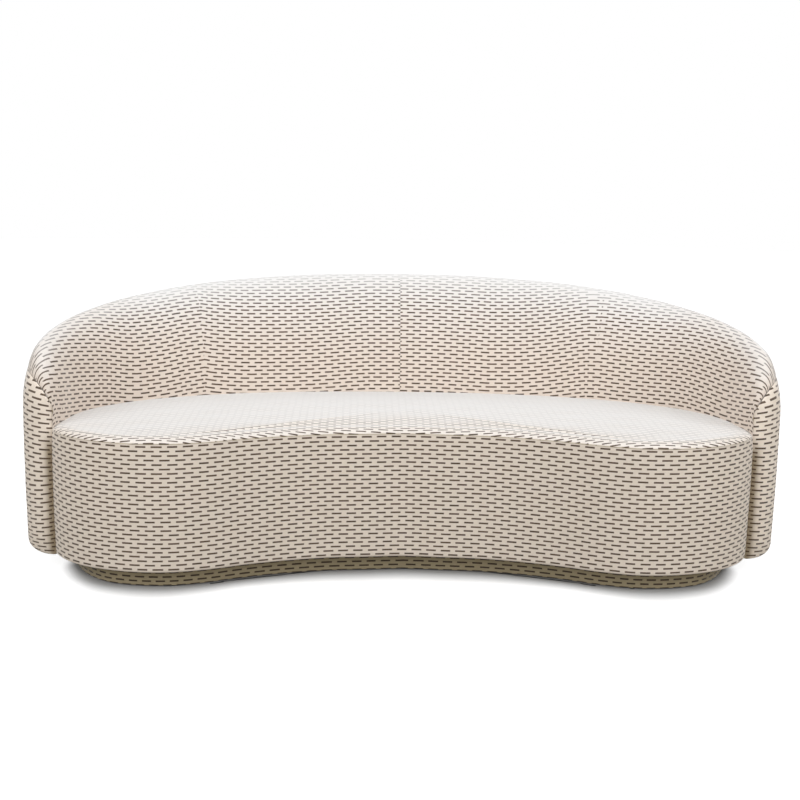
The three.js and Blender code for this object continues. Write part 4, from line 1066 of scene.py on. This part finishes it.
class SOFA_OT_stage(bpy.types.Operator):
    """Adds the floor, the lamps, the world and the camera"""
    bl_idname = "sofa.stage"
    bl_label = "Stage"

    def execute(self, context):
        self.floor()
        self.lamps()
        self.world(context.scene)
        self.camera(context.scene)
        context.scene.view_settings.view_transform = "Standard"
        return {"FINISHED"}

    def floor(self):
        """Lays rings round the plinth, whose UV map tells how far from it a place is."""
        foot = OUTLINE - OUTLINE_NORMALS * plinth_insets()[:, None]
        rings = [foot + OUTLINE_NORMALS * reach for reach in FLOOR_RINGS]
        away = rings[-1] - SEAT_CENTRE
        rings.append(SEAT_CENTRE + away * (FLOOR_RADIUS / np.linalg.norm(away, axis=1, keepdims=True)))
        grid = raised(np.stack(rings[::-1], axis=1), -FLOOR_DROP)
        reaches = np.array([*FLOOR_RINGS, FLOOR_RADIUS])[::-1]
        distance = (1 + SIDE_SHADOW * OUTLINE_NORMALS[:, :1] ** 2) * reaches
        uv = closed_cap(np.stack([distance, distance], axis=2))
        floor = grid_object("floor", closed_cap(grid), uv, (0, 0, 1))
        floor.data.materials.append(floor_material())

    def lamps(self):
        for name, place, aim, size, power in LAMPS:
            data = bpy.data.lights.new(name, "AREA")
            data.shape = "RECTANGLE"
            data.size, data.size_y = size
            data.energy = power
            lamp = new_object(name, data)
            lamp.location = place
            lamp.rotation_euler = (Vector(aim) - Vector(place)).to_track_quat("-Z", "Y").to_euler()

    def world(self, scene):
        paint = Paint("studio", "worlds")
        plain, white = (
            paint.read(0, "ShaderNodeBackground", {"Color": (1, 1, 1, 1), "Strength": light})
            for light in (WORLD_LIGHT, 1.0)
        )
        scene.world = paint.done(paint.layered(paint.seen(), plain, white), "ShaderNodeOutputWorld")

    def camera(self, scene):
        data = bpy.data.cameras.new("camera")
        data.sensor_width = CAMERA_SENSOR
        data.lens = CAMERA_LENS
        yaw, pitch, roll = map(math.radians, CAMERA_TURN)
        level = math.cos(pitch)
        forward = Vector((math.sin(yaw) * level, math.cos(yaw) * level, -math.sin(pitch)))
        right = Vector((math.cos(yaw), -math.sin(yaw), 0))
        up = right.cross(forward)
        tilted = right * math.cos(roll) + up * math.sin(roll)
        upright = up * math.cos(roll) - right * math.sin(roll)
        basis = Matrix((tilted, upright, -forward)).transposed().to_4x4()
        scene.camera = new_object("camera", data)
        scene.camera.matrix_world = Matrix.Translation(CAMERA_PLACE) @ basis


CAMERA_PLACE = (-0.1402, -4.0667, 1.2510)
CAMERA_TURN = (1.884, 11.0, 0.974)
CAMERA_LENS = 58.14
CAMERA_SENSOR = 36
WORLD_LIGHT = 0.5
FLOOR_GLOW = 0.85
SHADOW_REACH = 0.15
SIDE_SHADOW = 1.8
FLOOR_RINGS = (0, 0.015, 0.03, 0.05, 0.075, 0.1, 0.13, 0.16, 0.2)
FLOOR_RADIUS = 14.0
LAMPS = (
    ("top_lamp", (0.0, -0.6, 3.2), (0, 0.0, 0.4), (3.4, 2.4), 30.5),
    ("left_lamp", (-2.9, -2.6, 2.0), (0, 0.1, 0.4), (1.8, 1.8), 43),
    ("right_lamp", (3.0, -2.2, 1.9), (0, 0.1, 0.4), (1.6, 1.6), 38),
    ("back_lamp", (0.0, 2.0, 2.5), (0, 0.3, 0.7), (3.6, 1.0), 15),
    ("front_lamp", (0.0, -4.4, 1.1), (0, 0.1, 0.3), (3.0, 1.4), 40),
)


def floor_material():
    """Glows white where it is seen, except near the plinth, where the glow fades in over the shadow reach
    as a painted shadow band, and is duller to other rays.
    """
    paint = Paint("pale_floor")
    grain = paint.noise(paint.object_place(), 40.0, 3.0)
    pale = paint.blend(grain.step(0.2, 0.8), (0.44, 0.44, 0.44, 1), (0.46, 0.46, 0.46, 1))
    seen = paint.seen()
    colour = paint.blend(seen, (0.13, 0.115, 0.08, 1), pale)
    distance = paint.parts(paint.flat_place())[0]
    glow = paint.blend(seen * distance.step(0.0, SHADOW_REACH), (0, 0, 0, 1), (1, 1, 1, 1))
    return paint.done(paint.surface({
        "Base Color": colour, "Roughness": 0.9, "Specular IOR Level": 0.1,
        "Emission Color": glow, "Emission Strength": FLOOR_GLOW,
    }))


class SOFA_PT_panel(bpy.types.Panel):
    """Buttons for the sofa's pieces and its stage"""
    bl_label = "Sofa"
    bl_idname = "SOFA_PT_panel"
    bl_space_type = "VIEW_3D"
    bl_region_type = "UI"
    bl_category = "Sofa"

    def draw(self, context):
        for key in SofaSettings.__annotations__:
            self.layout.prop(context.scene.sofa, key)
        for operator in OPERATORS:
            self.layout.operator(operator.bl_idname)


OPERATORS = (
    SOFA_OT_materials, SOFA_OT_inside, SOFA_OT_outside, SOFA_OT_seat_top, SOFA_OT_seat_side, SOFA_OT_plinth,
    SOFA_OT_stage,
)


def register():
    bpy.utils.register_class(SofaSettings)
    for operator in OPERATORS:
        bpy.utils.register_class(operator)
    bpy.utils.register_class(SOFA_PT_panel)
    bpy.types.Scene.sofa = PointerProperty(type=SofaSettings)


def unregister():
    del bpy.types.Scene.sofa
    bpy.utils.unregister_class(SOFA_PT_panel)
    for operator in reversed(OPERATORS):
        bpy.utils.unregister_class(operator)
    bpy.utils.unregister_class(SofaSettings)


def main():
    register()
    bpy.ops.sofa.materials()
    bpy.ops.sofa.inside()
    bpy.ops.sofa.outside()
    bpy.ops.sofa.seat_top()
    bpy.ops.sofa.seat_side()
    bpy.ops.sofa.plinth()
    bpy.ops.sofa.stage()


if __name__ == "__main__":
    main()
